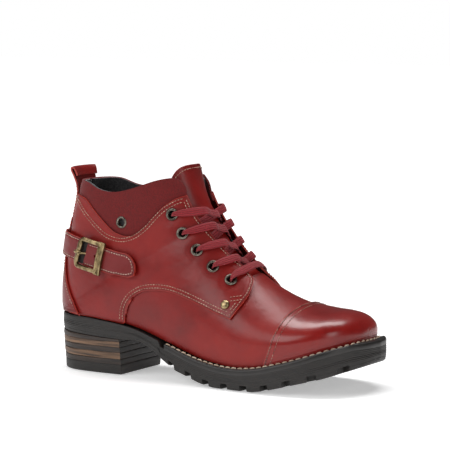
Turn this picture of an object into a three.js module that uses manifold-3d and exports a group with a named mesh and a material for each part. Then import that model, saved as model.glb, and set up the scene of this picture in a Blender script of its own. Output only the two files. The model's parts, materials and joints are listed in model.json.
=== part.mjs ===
// Heeled lace-up ankle boot, right foot, as an assembly of the pieces it is made from.
// Millimetres. +X to the toe, -Y to the outer (lateral) side, +Z up, ground at z = 0.
import * as THREE from 'three';
import { mergeVertices } from 'three/addons/utils/BufferGeometryUtils.js';
import Module from 'manifold-3d';

const wasm = await Module();
wasm.setup();

// ---- driving dimensions ----
const bootLength = 272;          // heel back to toe tip, over the sole
const forefootWidth = 98;        // across the sole at the ball
const shaftHeight = 161.5;       // ground to the top of the shaft front
const leather = 1.2;             // upper leather thickness
const layerGap = 0.3;            // air between pieces that lie on each other
const liningThickness = 1.3;
const stiffener = 0.8;           // toe puff and heel counter
const eyeletHole = 2.9;          // inner radius of an eyelet
const eyeletFlange = 4.6;        // outer radius of an eyelet
const eyeletLip = 0.7;           // height of the flange over the leather
const eyeletBack = 0.5;          // thickness of its rolled back plate
const laceWidth = 5.8;
const laceThickness = 1.4;
const weltThickness = 3;
const topPieceThickness = 7.6;   // rubber at the foot of the heel
const lugDepth = 4.4;
const lugWidth = 5.6;
const lugPitch = 17;
const strapWidth = 19;
const strapThickness = 1.8;
const buckleBar = 2.6;           // thickness of the buckle's bars
const insoleBoard = 2;
const footbedThickness = 4;
const zipWidth = 5.2;            // across the meshed teeth
const tabWidth = 25;             // pull tab at the heel

// The stations below are drawn for this size, and are stretched to the sizes above.
const drawn = { length: 272, width: 98, height: 161.5 };
const stretch = {
  x: bootLength / drawn.length,
  y: forefootWidth / drawn.width,
  z: shaftHeight / drawn.height,
};

// Levels over the drawn surface of the upper, outside positive: [inner, outer] of each layer.
const layerOver = (below, gap, thickness) => [below[1] + gap, below[1] + gap + thickness];
const layerUnder = (above, gap, thickness) => [above[0] - gap - thickness, above[0] - gap];
const baseLayer = [-1.2 - leather, -1.2];
const topLayer = layerOver(baseLayer, layerGap, leather);
const thirdLayer = layerOver(topLayer, layerGap * 3.4, leather * 0.8);
const strapLayer = layerOver(thirdLayer, layerGap, strapThickness);
const tuckedLayer = layerUnder(topLayer, layerGap * 2.4, leather);
const stiffLayer = layerUnder(baseLayer, layerGap, stiffener);
const liningLayer = layerUnder(stiffLayer, layerGap * 2.6, liningThickness);
const backPlate = layerUnder(tuckedLayer, layerGap * 2.4, eyeletBack);
const underFacing = layerUnder(backPlate, layerGap, laceThickness);
const tongueLayer = layerUnder(underFacing, layerGap * 3, leather);

// Stations of the last, from the toe tip, over the instep and up the shaft. Each is a slice
// from the bottom or back (back) to the ridge or front (front), as x and z in side view.
// foot: half-widths at the sole, outer and inner side. girth: widest half-widths.
// mid: how far along the slice it is widest. low and high: roundness below and above that.
const station = (front, back, centre, foot, girth, mid, low, high) =>
  ({ front, back, centre, foot, girth, mid, low, high });
const stations = [
  station([127.0, 42.5], [127.0, 38.5], 7.0, [0, 0], [0, 0], 0.40, 2.2, 2.1),
  station([125.8, 47.8], [125.8, 38.2], 6.8, [12, 11], [12.2, 11.2], 0.40, 2.2, 2.1),
  station([122.0, 53.0], [122.0, 37.0], 6.4, [22.8, 20], [23, 20.5], 0.38, 2.2, 2.1),
  station([115.5, 56.6], [115.5, 35.0], 5.8, [31, 27], [31.6, 27.8], 0.36, 2.2, 2.1),
  station([106.5, 58.4], [106.5, 32.2], 5.0, [37.6, 32.8], [38.4, 33.8], 0.34, 2.2, 2.1),
  station([95, 59.5], [95, 28.2], 4.0, [42.2, 37.6], [43, 38.6], 0.33, 2.2, 2.0),
  station([79, 62.2], [77, 22.9], 3.0, [45, 41], [46, 42.4], 0.32, 2.2, 1.9),
  station([61, 68.6], [55, 17.8], 2.0, [45.6, 42], [46.8, 43.4], 0.32, 2.2, 1.82),
  station([46.5, 76.4], [31, 16.6], 1.2, [43.5, 39.6], [45, 42], 0.33, 2.2, 1.85),
  station([35.5, 85], [4, 20.3], 0.6, [39.2, 34.6], [41.6, 38.4], 0.34, 2.2, 1.95),
  station([26.5, 93.5], [-26, 28.8], 0.2, [34.2, 29.6], [38.4, 35], 0.36, 2.2, 2.05),
  station([19, 101], [-58, 38.2], 0, [31.4, 28.6], [36.4, 33.8], 0.40, 2.2, 2.2),
  station([13.5, 107.5], [-90, 42.6], 0, [31.4, 30.4], [35.6, 33.8], 0.46, 2.3, 2.3),
  station([9.5, 113], [-115, 43.8], 0, [27.5, 27], [35, 33.6], 0.50, 2.5, 2.4),
  station([6.5, 118], [-130, 44.4], 0, [16, 16], [34.2, 33], 0.53, 2.6, 2.4),
  station([4, 122], [-134.4, 45], 0, [0, 0], [33.6, 32.6], 0.54, 2.6, 2.4),
  station([1, 127], [-135.6, 62], 0, [0, 0], [32.8, 32], 0.54, 2.6, 2.4),
  station([-3, 134], [-133.2, 84], 0, [0, 0], [31.8, 31.2], 0.54, 2.6, 2.4),
  station([-8, 143], [-129, 108], 0, [0, 0], [31.2, 31], 0.54, 2.6, 2.4),
  station([-12.5, 152], [-124, 128], 0, [0, 0], [31.4, 31.4], 0.54, 2.6, 2.4),
  station([-17, 161.5], [-119, 149], 0, [0, 0], [32, 32], 0.54, 2.6, 2.4),
];
const lastStation = stations.length - 1;
const heelEnd = 15;              // the station where the sole line closes at the heel back
const widestAt = 0.35;           // t of the widest point of a slice
const lateral = -1;
const medial = 1;
const sides = { lateral, medial };

// ---- materials ----
const finish = (color, roughness, metalness) =>
  new THREE.MeshStandardMaterial({ color, roughness, metalness });
const redLeather = finish(0x8c2622, 0.42, 0);
const redSuede = finish(0x7d1414, 0.9, 0);
const blackFleece = finish(0x1c1a1b, 0.95, 0);
const blackRubber = finish(0x2b2726, 0.75, 0);
const tanStack = finish(0x96694a, 0.7, 0);
const darkStack = finish(0x46372f, 0.7, 0);
const antiqueBrass = finish(0x8a7448, 0.4, 1);
const gunmetal = finish(0x5c5850, 0.35, 1);
const laceRed = finish(0x98161f, 0.8, 0);
const steel = finish(0x8f9296, 0.35, 1);
const board = finish(0xa98f6c, 0.9, 0);
const foam = finish(0x35302e, 0.9, 0);
const blackTape = finish(0x1a1718, 0.85, 0);

const boot = new THREE.Group();
function add(name, geometry, material) {
  const piece = new THREE.Mesh(geometry, material);
  piece.name = name;
  boot.add(piece);
  return piece;
}

// ---- the last: a smooth surface through the stations ----
// Catmull-Rom through equally spaced values, carried on straight past both ends.
function through(values, u) {
  const i = Math.min(Math.max(Math.floor(u), 0), values.length - 2);
  const f = u - i;
  const b = values[i];
  const c = values[i + 1];
  const a = i > 0 ? values[i - 1] : 2 * b - c;
  const d = i < values.length - 2 ? values[i + 2] : 2 * c - b;
  return b + f * (c - a + f * (2 * a - 5 * b + 4 * c - d + f * (3 * (b - c) + d - a))) / 2;
}

const column = (pick) => stations.map(pick);
const lines = {
  frontX: column((s) => s.front[0]),
  frontZ: column((s) => s.front[1]),
  backX: column((s) => s.back[0]),
  backZ: column((s) => s.back[1]),
  centre: column((s) => s.centre),
  foot: [column((s) => s.foot[0]), column((s) => s.foot[1])],
  girth: [column((s) => s.girth[0]), column((s) => s.girth[1])],
  mid: column((s) => s.mid),
  low: column((s) => s.low),
  high: column((s) => s.high),
};

const frontAt = (u) => [through(lines.frontX, u), through(lines.frontZ, u)];
const backAt = (u) => [through(lines.backX, u), through(lines.backZ, u)];
const footAt = (u, side) => Math.max(through(lines.foot[side < 0 ? 0 : 1], u), 0);

// Angle at which a slice's lower curve has closed to its half-width at the sole, and the
// stretch that brings it there.
function lowEnd(u, side) {
  const girth = Math.max(through(lines.girth[side < 0 ? 0 : 1], u), 1e-6);
  const ratio = Math.min(footAt(u, side) / girth, 0.999);
  const low = through(lines.low, u);
  const angle = ratio > 1e-6 ? Math.acos(ratio ** (low / 2)) : Math.PI / 2;
  return { girth, low, angle, pull: 1 / (1 - ratio ** low) ** (1 / low) };
}

// A point of the drawn last: u picks the slice, t runs from its bottom or back (0) to its
// ridge or front (1), side is lateral or medial.
function drawnPoint(u, t, side) {
  const [fx, fz] = frontAt(u);
  const [bx, bz] = backAt(u);
  const mid = through(lines.mid, u);
  const end = lowEnd(u, side);
  let along;
  let across;
  if (t >= widestAt) {
    const angle = (t - widestAt) / (1 - widestAt) * Math.PI / 2;
    const high = through(lines.high, u);
    along = mid + (1 - mid) * Math.sin(angle) ** (2 / high);
    across = Math.max(Math.cos(angle), 0) ** (2 / high);
  } else {
    const angle = (widestAt - t) / widestAt * end.angle;
    along = mid - mid * end.pull * Math.sin(angle) ** (2 / end.low);
    across = Math.max(Math.cos(angle), 0) ** (2 / end.low);
  }
  const y = through(lines.centre, u) + side * end.girth * across;
  return new THREE.Vector3(bx + (fx - bx) * along, y, bz + (fz - bz) * along);
}

function lastPoint(u, t, side) {
  const p = drawnPoint(u, t, side);
  return p.set(p.x * stretch.x, p.y * stretch.y, p.z * stretch.z);
}

const step = 2e-3;
const clamp = (value, low, high) => Math.min(Math.max(value, low), high);
function lastNormal(u, t, side) {
  const alongU = lastPoint(u + step, t, side)
    .sub(lastPoint(Math.max(u - step, 0), t, side));
  const alongT = lastPoint(u, clamp(t + step, 0, 1), side).sub(lastPoint(u, clamp(t - step, 0, 1), side));
  const normal = alongU.cross(alongT).multiplyScalar(side).normalize();
  const onMiddle = t > 1 - 1e-9 || u < 1e-9 || (t < 1e-9 && u >= heelEnd);
  if (onMiddle) normal.setY(0).normalize();
  return normal;
}

// A point at a level over the last, outside positive.
function onLast(u, t, side, level) {
  return lastPoint(u, t, side).addScaledVector(lastNormal(u, t, side), level);
}

function bisect(low, high, isBelow) {
  let a = low;
  let b = high;
  for (let i = 0; i < 40; i += 1) {
    const middle = (a + b) / 2;
    if (isBelow(middle)) a = middle;
    else b = middle;
  }
  return (a + b) / 2;
}

// The place (u, t) on the last of a point drawn in side view.
function placeOf(x, z, side) {
  const u = bisect(0, lastStation, (v) => {
    const [fx, fz] = frontAt(v);
    const [bx, bz] = backAt(v);
    return (fx - bx) * (z - bz) - (fz - bz) * (x - bx) > 0;
  });
  const [fx, fz] = frontAt(u);
  const [bx, bz] = backAt(u);
  const span = (fx - bx) ** 2 + (fz - bz) ** 2;
  const along = clamp(((x - bx) * (fx - bx) + (z - bz) * (fz - bz)) / span, 0, 1);
  const mid = through(lines.mid, u);
  if (along >= mid) {
    const angle = Math.asin(((along - mid) / (1 - mid)) ** (through(lines.high, u) / 2));
    return [u, widestAt + (1 - widestAt) * angle / (Math.PI / 2)];
  }
  const end = lowEnd(u, side);
  const angle = Math.asin(Math.min((mid - along) / (mid * end.pull), 1) ** (end.low / 2));
  return [u, widestAt * Math.max(1 - angle / end.angle, 0)];
}

function atSide(x, z, side, level) {
  const [u, t] = placeOf(x, z, side);
  return onLast(u, t, side, level);
}

// The place on the last at t and at a drawn height, for pieces that go round the heel.
function stationAtHeight(z, t, side) {
  return bisect(9, lastStation + 1, (u) => drawnPoint(u, t, side).z < z);
}
function roundHeel(v, z, level) {
  const side = v < 0 ? lateral : medial;
  return onLast(stationAtHeight(z, Math.abs(v), side), Math.abs(v), side, level);
}

// ---- solids ----
function fromTriangles(points, triangles) {
  const geometry = new THREE.BufferGeometry();
  const flat = points.flatMap((p) => [p.x, p.y, p.z]);
  geometry.setAttribute('position', new THREE.Float32BufferAttribute(flat, 3));
  geometry.setIndex(triangles.flat());
  return geometry;
}

// Puts the vertices that share a place together and drops the triangles that vanish.
function sewn(geometry) {
  geometry.deleteAttribute('normal');
  geometry.deleteAttribute('uv');
  const merged = mergeVertices(geometry, 1e-4);
  const index = merged.getIndex().array;
  const kept = [];
  for (let i = 0; i < index.length; i += 3) {
    const [a, b, c] = [index[i], index[i + 1], index[i + 2]];
    if (a !== b && b !== c && c !== a) kept.push(a, b, c);
  }
  merged.setIndex(kept);
  return merged;
}

function volumeOf(geometry) {
  const p = geometry.getAttribute('position');
  const index = geometry.getIndex().array;
  const [a, b, c] = [new THREE.Vector3(), new THREE.Vector3(), new THREE.Vector3()];
  let volume = 0;
  for (let i = 0; i < index.length; i += 3) {
    a.fromBufferAttribute(p, index[i]);
    b.fromBufferAttribute(p, index[i + 1]);
    c.fromBufferAttribute(p, index[i + 2]);
    volume += a.dot(b.cross(c)) / 6;
  }
  return volume;
}

// Faces outwards, whichever way the grid ran.
function outward(geometry) {
  if (volumeOf(geometry) < 0) {
    const index = geometry.getIndex().array;
    for (let i = 0; i < index.length; i += 3) [index[i], index[i + 1]] = [index[i + 1], index[i]];
  }
  return geometry;
}

// A skin between two levels: at(i, j, level) is a point of its grid, and keep(i, j) says
// which cells it has. Its rim is closed from one level to the other, but for a first row
// that is folded on itself.
function skin(rows, columns, levels, at, keep = () => true) {
  const [inner, outer] = levels;
  const width = columns + 1;
  const layer = (rows + 1) * width;
  const points = [];
  for (const level of [outer, inner]) {
    for (let i = 0; i <= rows; i += 1) {
      for (let j = 0; j <= columns; j += 1) points.push(at(i, j, level));
    }
  }
  const folded = columns > 2 && points[1].distanceTo(points[columns - 1]) < 1e-4;
  const has = (i, j) => i >= 0 && j >= 0 && i < rows && j < columns && keep(i, j);
  const triangles = [];
  const quad = (a, b, c, d) => triangles.push([a, b, c], [a, c, d]);
  for (let i = 0; i < rows; i += 1) {
    for (let j = 0; j < columns; j += 1) {
      if (!has(i, j)) continue;
      const [a, b, c, d] = [i * width + j, i * width + j + 1, (i + 1) * width + j + 1, (i + 1) * width + j];
      quad(a, b, c, d);
      quad(a + layer, d + layer, c + layer, b + layer);
      if (!has(i - 1, j) && !(i === 0 && folded)) quad(b, a, a + layer, b + layer);
      if (!has(i + 1, j)) quad(d, c, c + layer, d + layer);
      if (!has(i, j - 1)) quad(a, d, d + layer, a + layer);
      if (!has(i, j + 1)) quad(c, b, b + layer, c + layer);
    }
  }
  return outward(sewn(fromTriangles(points, triangles)));
}

// A solid through closed loops of equally many points. A loop starts at one end of its shape
// and comes back on the other side, and the end caps join each point with the one across.
function loft(loops) {
  const n = loops[0].length;
  const points = loops.flat();
  const triangles = [];
  for (let k = 0; k < loops.length - 1; k += 1) {
    for (let i = 0; i < n; i += 1) {
      const a = k * n + i;
      const b = k * n + (i + 1) % n;
      triangles.push([a, b, b + n], [a, b + n, a + n]);
    }
  }
  const cap = (base, flip) => {
    for (let i = 0; i < n / 2; i += 1) {
      const [a, b, c, d] = [base + i, base + i + 1, base + n - 1 - i, base + (n - i) % n];
      const pair = [[a, c, b], [a, d, c]];
      for (const [p, q, r] of pair) {
        if (p !== q && q !== r && r !== p) triangles.push(flip ? [p, r, q] : [p, q, r]);
      }
    }
  };
  cap(0, false);
  cap((loops.length - 1) * n, true);
  return outward(sewn(fromTriangles(points, triangles)));
}

// ---- joining and cutting ----
function toSolid(geometry) {
  const merged = sewn(geometry);
  return new wasm.Manifold(new wasm.Mesh({
    numProp: 3,
    vertProperties: new Float32Array(merged.getAttribute('position').array),
    triVerts: new Uint32Array(merged.getIndex().array),
  }));
}
function toGeometry(solid) {
  const result = solid.getMesh();
  const geometry = new THREE.BufferGeometry();
  geometry.setAttribute('position', new THREE.BufferAttribute(new Float32Array(result.vertProperties), 3));
  geometry.setIndex(new THREE.BufferAttribute(new Uint32Array(result.triVerts), 1));
  return geometry;
}
function cut(geometry, tools) {
  let solid = toSolid(geometry);
  for (const tool of tools) solid = solid.subtract(toSolid(tool));
  return toGeometry(solid);
}
function join(geometries) {
  let solid = toSolid(geometries[0]);
  for (const other of geometries.slice(1)) solid = solid.add(toSolid(other));
  return toGeometry(solid);
}

const up = new THREE.Vector3(0, 0, 1);
// Stands a geometry made along +Y, as cylinders and lathes are, on a point along a direction.
function standing(geometry, origin, direction) {
  const turn = new THREE.Quaternion().setFromUnitVectors(new THREE.Vector3(0, 1, 0), direction);
  return geometry.applyQuaternion(turn).translate(origin.x, origin.y, origin.z);
}
function rod(radius, length, origin, direction, sidesCount = 12) {
  return standing(new THREE.CylinderGeometry(radius, radius, length, sidesCount), origin, direction);
}

// ---- outlines in side view, x and z, back to front ----
const spline2 = (points) => new THREE.SplineCurve(points.map(([x, z]) => new THREE.Vector2(x, z)));
const collarSeam = spline2([[-131.6, 137], [-114, 135.2], [-99.8, 124.2], [-85.9, 113.4], [-77.2, 109.4],
  [-67.2, 108.2], [-57.4, 110.9], [-48.8, 116.8], [-41.5, 124.6], [-34.5, 131.6], [-25, 137.9],
  [-16.4, 141]]);
const collarTuck = spline2([[-132.4, 131], [-114, 129.4], [-99.8, 118.4], [-84, 107.8], [-67.2, 102.6],
  [-54, 105.2], [-44, 113.2], [-36, 123.4], [-26, 131.8], [-12.8, 134.6]]);
const collarRim = spline2([[-119, 149], [-105, 148], [-91, 143], [-76, 141.4], [-60, 144.6], [-39, 151.6],
  [-25.5, 154], [-20.6, 151.6]]);
const collarFront = spline2([[-12.8, 134.6], [-16.2, 141.4], [-17.8, 147], [-20.6, 151.6]]);
const facingEdge = spline2([[33, 52], [37.6, 60], [40.1, 66], [40.8, 71], [38.6, 78.5], [34.2, 83.1],
  [28.7, 88.2], [18.5, 96.6], [8, 107], [-1.8, 117.8], [-8.4, 126], [-16.4, 141]]);
const archSeam = spline2([[-65, 41.5], [-64, 47], [-62.3, 53], [-59, 58.6], [-54, 63.2], [-46.5, 66.9],
  [-38, 68.5], [-26, 68.7], [-15, 66.8], [-2.9, 63.1], [9.3, 59], [20.6, 55.3], [33, 52]]);
const eyelets = [[-25.2, 126.4], [-16, 112.5], [-3.4, 100.4], [10.3, 88.7], [25.2, 79.4]];
const ventPlace = [-68.8, 118.5];
const rivetPlace = [26.7, 61.9];
const zipLine = { x: -71, bottom: 59.5, top: 141.5 };
const archStation = 11.22;       // where the arch seam meets the sole line

const at2 = (curve, s) => {
  const p = curve.getPoint(s);
  return [p.x, p.y];
};

// A four-sided patch of the last between outlines in side view: low and high run back to
// front, rear and fore run upwards.
function patch(low, high, rear, fore) {
  const corner = [low(0), low(1), high(0), high(1)];
  return (s, r) => [0, 1].map((k) => {
    const across = (1 - r) * low(s)[k] + r * high(s)[k];
    const along = (1 - s) * rear(r)[k] + s * fore(r)[k];
    const flat = (1 - s) * (1 - r) * corner[0][k] + s * (1 - r) * corner[1][k]
      + (1 - s) * r * corner[2][k] + s * r * corner[3][k];
    return across + along - flat;
  });
}
// Steps closer together at both ends, where the last turns round the heel and the instep.
const easeBothEnds = (s) => 0.5 - 0.5 * Math.cos(Math.PI * s);
function patchSkin(rows, columns, levels, side, outline) {
  const places = [];
  for (let i = 0; i <= rows; i += 1) {
    places.push([]);
    for (let j = 0; j <= columns; j += 1) {
      const [x, z] = outline(easeBothEnds(i / rows), j / columns);
      places[i].push(placeOf(x, z, side));
    }
  }
  return skin(rows, columns, levels, (i, j, level) => {
    const [u, t] = places[i][j];
    const p = onLast(u, t, side, level);
    p.y = side * Math.max(side * p.y, layerGap / 2);
    return p;
  });
}

// ---- the sole, in plan ----
// A point on the sole line, grown outwards by so much.
const soleHeight = (x) => backAt(bisect(0, heelEnd, (v) => backAt(v)[0] * stretch.x > x))[1] * stretch.z;
function soleLine(u, side, grow) {
  const here = (v) => new THREE.Vector2(backAt(v)[0] * stretch.x,
    (through(lines.centre, v) + side * footAt(v, side)) * stretch.y);
  const p = here(u);
  const tip = u < 1e-9 || u > heelEnd - 1e-9;
  const run = here(Math.min(u + 0.02, heelEnd)).sub(here(Math.max(u - 0.02, 0)));
  const out = tip ? new THREE.Vector2(u < 1 ? 1 : -1, 0)
    : new THREE.Vector2(side * run.y, -side * run.x).normalize();
  if (!tip && out.y * side < 0 && Math.abs(out.y) > 0.2) out.negate();
  const x = p.x + out.x * grow;
  return { x, y: p.y + out.y * grow, z: soleHeight(x) };
}

const toeSteps = [0, 0.25, 0.6, 1, 1.5, 2, 3, 4, 5, 6, 7, 8];
const waistSteps = [9, 10, 11, 12, 13, 13.5, 14, 14.4, 14.7, 15];
const soleSteps = [...toeSteps, ...waistSteps];

// A plan loop through the given stations: the first one, down the lateral side, the last, and
// back up the medial side. grow and level are functions of the station.
function soleLoop(stationList, grow, level) {
  const point = (u, side) => {
    const p = soleLine(u, side, grow(u));
    return new THREE.Vector3(p.x, p.y, level(p, u));
  };
  const first = stationList[0];
  const last = stationList[stationList.length - 1];
  const loop = stationList.map((u) => point(u, lateral));
  loop.push(...stationList.slice(1, -1).reverse().map((u) => point(u, medial)));
  if (first > 0) {
    loop.push(point(first, medial));
    loop.unshift(point(first, lateral).add(point(first, medial)).multiplyScalar(0.5));
  }
  if (last < heelEnd) {
    const after = stationList.length + (first > 0 ? 1 : 0);
    const middle = point(last, lateral).add(point(last, medial)).multiplyScalar(0.5);
    loop.splice(after, 0, middle, point(last, medial));
  }
  return loop;
}

// How far the sole stands out beyond the sole line.
const edgeWidths = [8.4, 7.6, 6.6, 6, 5.6, 5.3, 5.2, 5, 4.8, 4.4, 3.4, 2.6, 2.4, 2.2, 2, 1.8, 1.8];
const edgeGrow = (u) => through(edgeWidths, u);

// The underside of the outsole in side view: heel seat, waist and tread.
const underside = [[-137, 31.2], [-100, 29.2], [-69, 27.8], [-58, 28.6], [-49, 27.2], [-39, 22.6],
  [-29.4, 16.4], [-16.6, 9], [-3.6, 5.4], [7.4, 2], [20, 0], [56, 0], [67, 1.9], [76, 4.2],
  [92, 8.4], [108.6, 12.6], [121, 17], [130.4, 20.3], [137, 24]];
function undersideAt(x) {
  const drawnX = clamp(x / stretch.x, underside[0][0], underside[underside.length - 1][0]);
  const i = underside.findIndex(([px]) => px >= drawnX) || 1;
  const [[ax, az], [bx, bz]] = [underside[Math.max(i - 1, 0)], underside[Math.max(i, 1)]];
  const drawnZ = az + (bz - az) * (drawnX - ax) / (bx - ax || 1);
  return drawnZ * stretch.z;
}

const seatGap = leather + layerGap;     // room under the lasted edge of the upper
const weltEnd = 10;              // station where the welt stops at the waist
const treadInset = 0.6;          // the tread's edge is set in from the sole's widest line

function outsole() {
  const top = (p, u) => p.z - seatGap - (u < weltEnd + 0.15 ? weltThickness + layerGap * 3 : 0);
  const stationList = [...toeSteps, 9, 10, 10.1, 10.2, 11, 11.5, 12, 13, 13.5, 14, 14.4, 14.7, 15];
  const body = loft([
    soleLoop(stationList, (u) => edgeGrow(u) - treadInset - 1.2, (p) => undersideAt(p.x)),
    soleLoop(stationList, (u) => edgeGrow(u) - treadInset, (p) => undersideAt(p.x) + 1.4),
    soleLoop(stationList, edgeGrow, (p, u) => (undersideAt(p.x) + top(p, u)) / 2),
    soleLoop(stationList, edgeGrow, top),
  ]);
  const tools = [];
  const reach = 15;
  for (const side of [lateral, medial]) {
    for (let x = -19; x < bootLength / 2 - 14; x += lugPitch) {
      const drawnX = x / stretch.x;
      const u = bisect(0, 12, (v) => backAt(v)[0] > drawnX);
      const p = soleLine(u, side, 0);
      const q = soleLine(u, side, 1);
      const out = new THREE.Vector3(q.x - p.x, q.y - p.y, 0).normalize();
      const block = new THREE.BoxGeometry(2 * reach, lugWidth, 2 * lugDepth);
      block.rotateZ(Math.atan2(out.y, out.x));
      const slope = (undersideAt(x + 4) - undersideAt(x - 4)) / 8;
      block.rotateY(-Math.atan(slope));
      block.translate(p.x + out.x * 6, p.y + out.y * 6, undersideAt(x));
      tools.push(block);
    }
  }
  for (const heel of nailPlaces()) tools.push(nailHole(heel));
  return cut(body, tools);
}

function welt() {
  const list = [...toeSteps, 9, weltEnd];
  const line = [...list.slice(1).reverse().map((u) => [u, lateral]), ...list.map((u) => [u, medial])];
  const corners = (u) => [
    [-2.2, -seatGap],
    [edgeGrow(u) - 0.6, -seatGap],
    [edgeGrow(u), -seatGap - weltThickness * 0.4],
    [edgeGrow(u), -seatGap - weltThickness],
    [-2.2, -seatGap - weltThickness],
  ];
  const loops = line.map(([u, side]) => corners(u).map(([grow, rise]) => {
    const p = soleLine(u, side, grow);
    return new THREE.Vector3(p.x, p.y, p.z + rise);
  }));
  return loft(loops);
}

// ---- the heel ----
const breastX = -70;
const heelTaper = 4.6;           // how much each side draws in from the seat to the ground
const breastStation = 11.4;
const seatHeight = undersideAt(breastX * stretch.x);
const liftShares = [4.3, 5.2, 4.3, 4.4];
const liftShareSum = 20.2;
function heelLoop(zOf) {
  const list = [breastStation, 11.7, 12, 12.5, 13, 13.5, 14, 14.4, 14.7, heelEnd];
  const loop = soleLoop(list, () => 0, () => 0);
  return loop.map((p, k) => {
    const z = zOf(p.x);
    const lower = clamp(1 - z / seatHeight, 0, 1);
    const centreX = -100 * stretch.x;
    const grow = 1.8 - heelTaper * lower;
    const reach = Math.hypot(p.x - centreX, p.y) || 1;
    const atBreast = k <= 1 || k === loop.length - 1;
    const x = atBreast ? breastX * stretch.x : p.x + (p.x - centreX) / reach * grow - 3.4 * lower;
    return new THREE.Vector3(x, p.y + p.y / reach * grow, z);
  });
}

function nailPlaces() {
  return [[-118, -9], [-118, 9], [-92, -13], [-92, 13]].map(([x, y]) =>
    new THREE.Vector3(x * stretch.x, y * stretch.y, 0));
}
const nailRadius = 1.3;
const nailFoot = topPieceThickness + 1;
function nailHole(place) {
  const top = 60 * stretch.z;
  const base = topPieceThickness + layerGap / 2;
  return rod(nailRadius + layerGap, top - base, new THREE.Vector3(place.x, place.y, (top + base) / 2), up, 8);
}
function seatTop(x) {
  const u = bisect(9, heelEnd, (v) => backAt(v)[0] * stretch.x > x);
  return backAt(u)[1] * stretch.z;
}

function buildHeel() {
  add('heel_top_piece', loft([
    heelLoop(() => 0),
    heelLoop(() => topPieceThickness),
  ]), blackRubber);
  let z = topPieceThickness + layerGap;
  const room = seatHeight - topPieceThickness;
  const holes = nailPlaces().map(nailHole);
  liftShares.forEach((share, k) => {
    const next = topPieceThickness + room * liftShares.slice(0, k + 1).reduce((a, b) => a + b) / liftShareSum;
    const [low, high] = [z, next];
    add(`heel_lift_${k + 1}`, cut(loft([heelLoop(() => low), heelLoop(() => high)]), holes),
      k % 2 === 1 ? tanStack : darkStack);
    z = next + layerGap;
  });
  const wedge = loft([heelLoop(() => z), heelLoop((x) => undersideAt(x) - layerGap)]);
  add('heel_wedge', cut(wedge, holes), darkStack);
  nailPlaces().forEach((place, k) => {
    const top = seatTop(place.x) + 1;
    const middle = new THREE.Vector3(place.x, place.y, (top + nailFoot) / 2);
    add(`heel_nail_${k + 1}`, rod(nailRadius, top - nailFoot, middle, up, 8), steel);
  });
}

// ---- inside the bottom ----
const boardRise = 2.2;           // the insole board's underside over the sole line
const boardInset = baseLayer[0] - layerGap * 3;
const boardSteps = soleSteps.filter((u) => u === 0 || u >= 0.6);
// How far a plate inside the upper is drawn in from the sole line, a little more at the toe.
const inset = (extra) => (u) => boardInset - extra - (u < 1.6 ? 2.5 * (1.6 - u) : 0);
const plate = (list, grow, low, high) => loft([
  soleLoop(list, grow, (p) => p.z + low),
  soleLoop(list, grow, (p) => p.z + high),
]);
function shankPiece() {
  const list = [9.3, 10, 10.6, 11.2, 11.8, 12.4];
  return skin(list.length - 1, 1, [0.3, 1.6], (i, j, level) => {
    const [x, z] = backAt(list[i]);
    return new THREE.Vector3(x * stretch.x, j === 0 ? -7 : 7, z * stretch.z + level);
  });
}
function buildBottom() {
  add('outsole', outsole(), blackRubber);
  add('welt', welt(), blackRubber);
  buildHeel();
  add('insole_board', plate(boardSteps, inset(0.2), boardRise, boardRise + insoleBoard), board);
  const bedLow = boardRise + insoleBoard + layerGap;
  const bedInset = -liningLayer[0] + boardInset + layerGap * 5;
  add('footbed', plate(boardSteps, inset(bedInset + 0.6), bedLow, bedLow + footbedThickness), foam);
  const fore = boardSteps.filter((u) => u <= 9);
  add('forefoot_filler', plate(fore, inset(1.6), -seatGap - weltThickness, boardRise - layerGap), foam);
  add('shank', shankPiece(), steel);
}
buildBottom();

// ---- the upper ----
const backLine = (levelLow, levelHigh) => (r) => {
  const u = bisect(heelEnd, lastStation, (v) => backAt(v)[1] < levelLow + (levelHigh - levelLow) * r);
  return backAt(u);
};
const mix = (a, b, f) => a + (b - a) * f;

// t at which a slice has risen so far over the sole line
function riseAt(u, side, rise) {
  const base = lastPoint(u, 0, side).z;
  return bisect(0, 0.9, (t) => lastPoint(u, t, side).z - base < rise);
}

function hole(x, z, side, radius, sidesCount = 10) {
  const [u, t] = placeOf(x, z, side);
  return rod(radius, 16, onLast(u, t, side, 0), lastNormal(u, t, side), sidesCount);
}
const zipSide = medial;
function zipFrame() {
  const top = atSide(zipLine.x, zipLine.top, zipSide, 0);
  const bottom = atSide(zipLine.x, zipLine.bottom, zipSide, 0);
  const along = top.clone().sub(bottom).normalize();
  const [u, t] = placeOf(zipLine.x, (zipLine.top + zipLine.bottom) / 2, zipSide);
  const out = lastNormal(u, t, zipSide);
  out.addScaledVector(along, -out.dot(along)).normalize();
  const across = along.clone().cross(out).normalize();
  return { top, bottom, along, out, across };
}
// A box in the zip's own directions: across, along from its foot, and outwards.
function zipBox(across0, across1, along0, along1, out0, out1) {
  const frame = zipFrame();
  const box = new THREE.BoxGeometry(across1 - across0, along1 - along0, out1 - out0);
  box.translate((across0 + across1) / 2, (along0 + along1) / 2, (out0 + out1) / 2);
  const basis = new THREE.Matrix4().makeBasis(frame.across, frame.along, frame.out);
  return box.applyMatrix4(basis.setPosition(frame.bottom));
}
const zipLength = () => zipFrame().top.distanceTo(zipFrame().bottom);
const zipGap = zipWidth / 2 + 1.1;       // from the zip's middle to the leather edge
const zipSlot = () => zipBox(-zipGap, zipGap, -3, zipLength() + 30, -12, 12);

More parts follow.
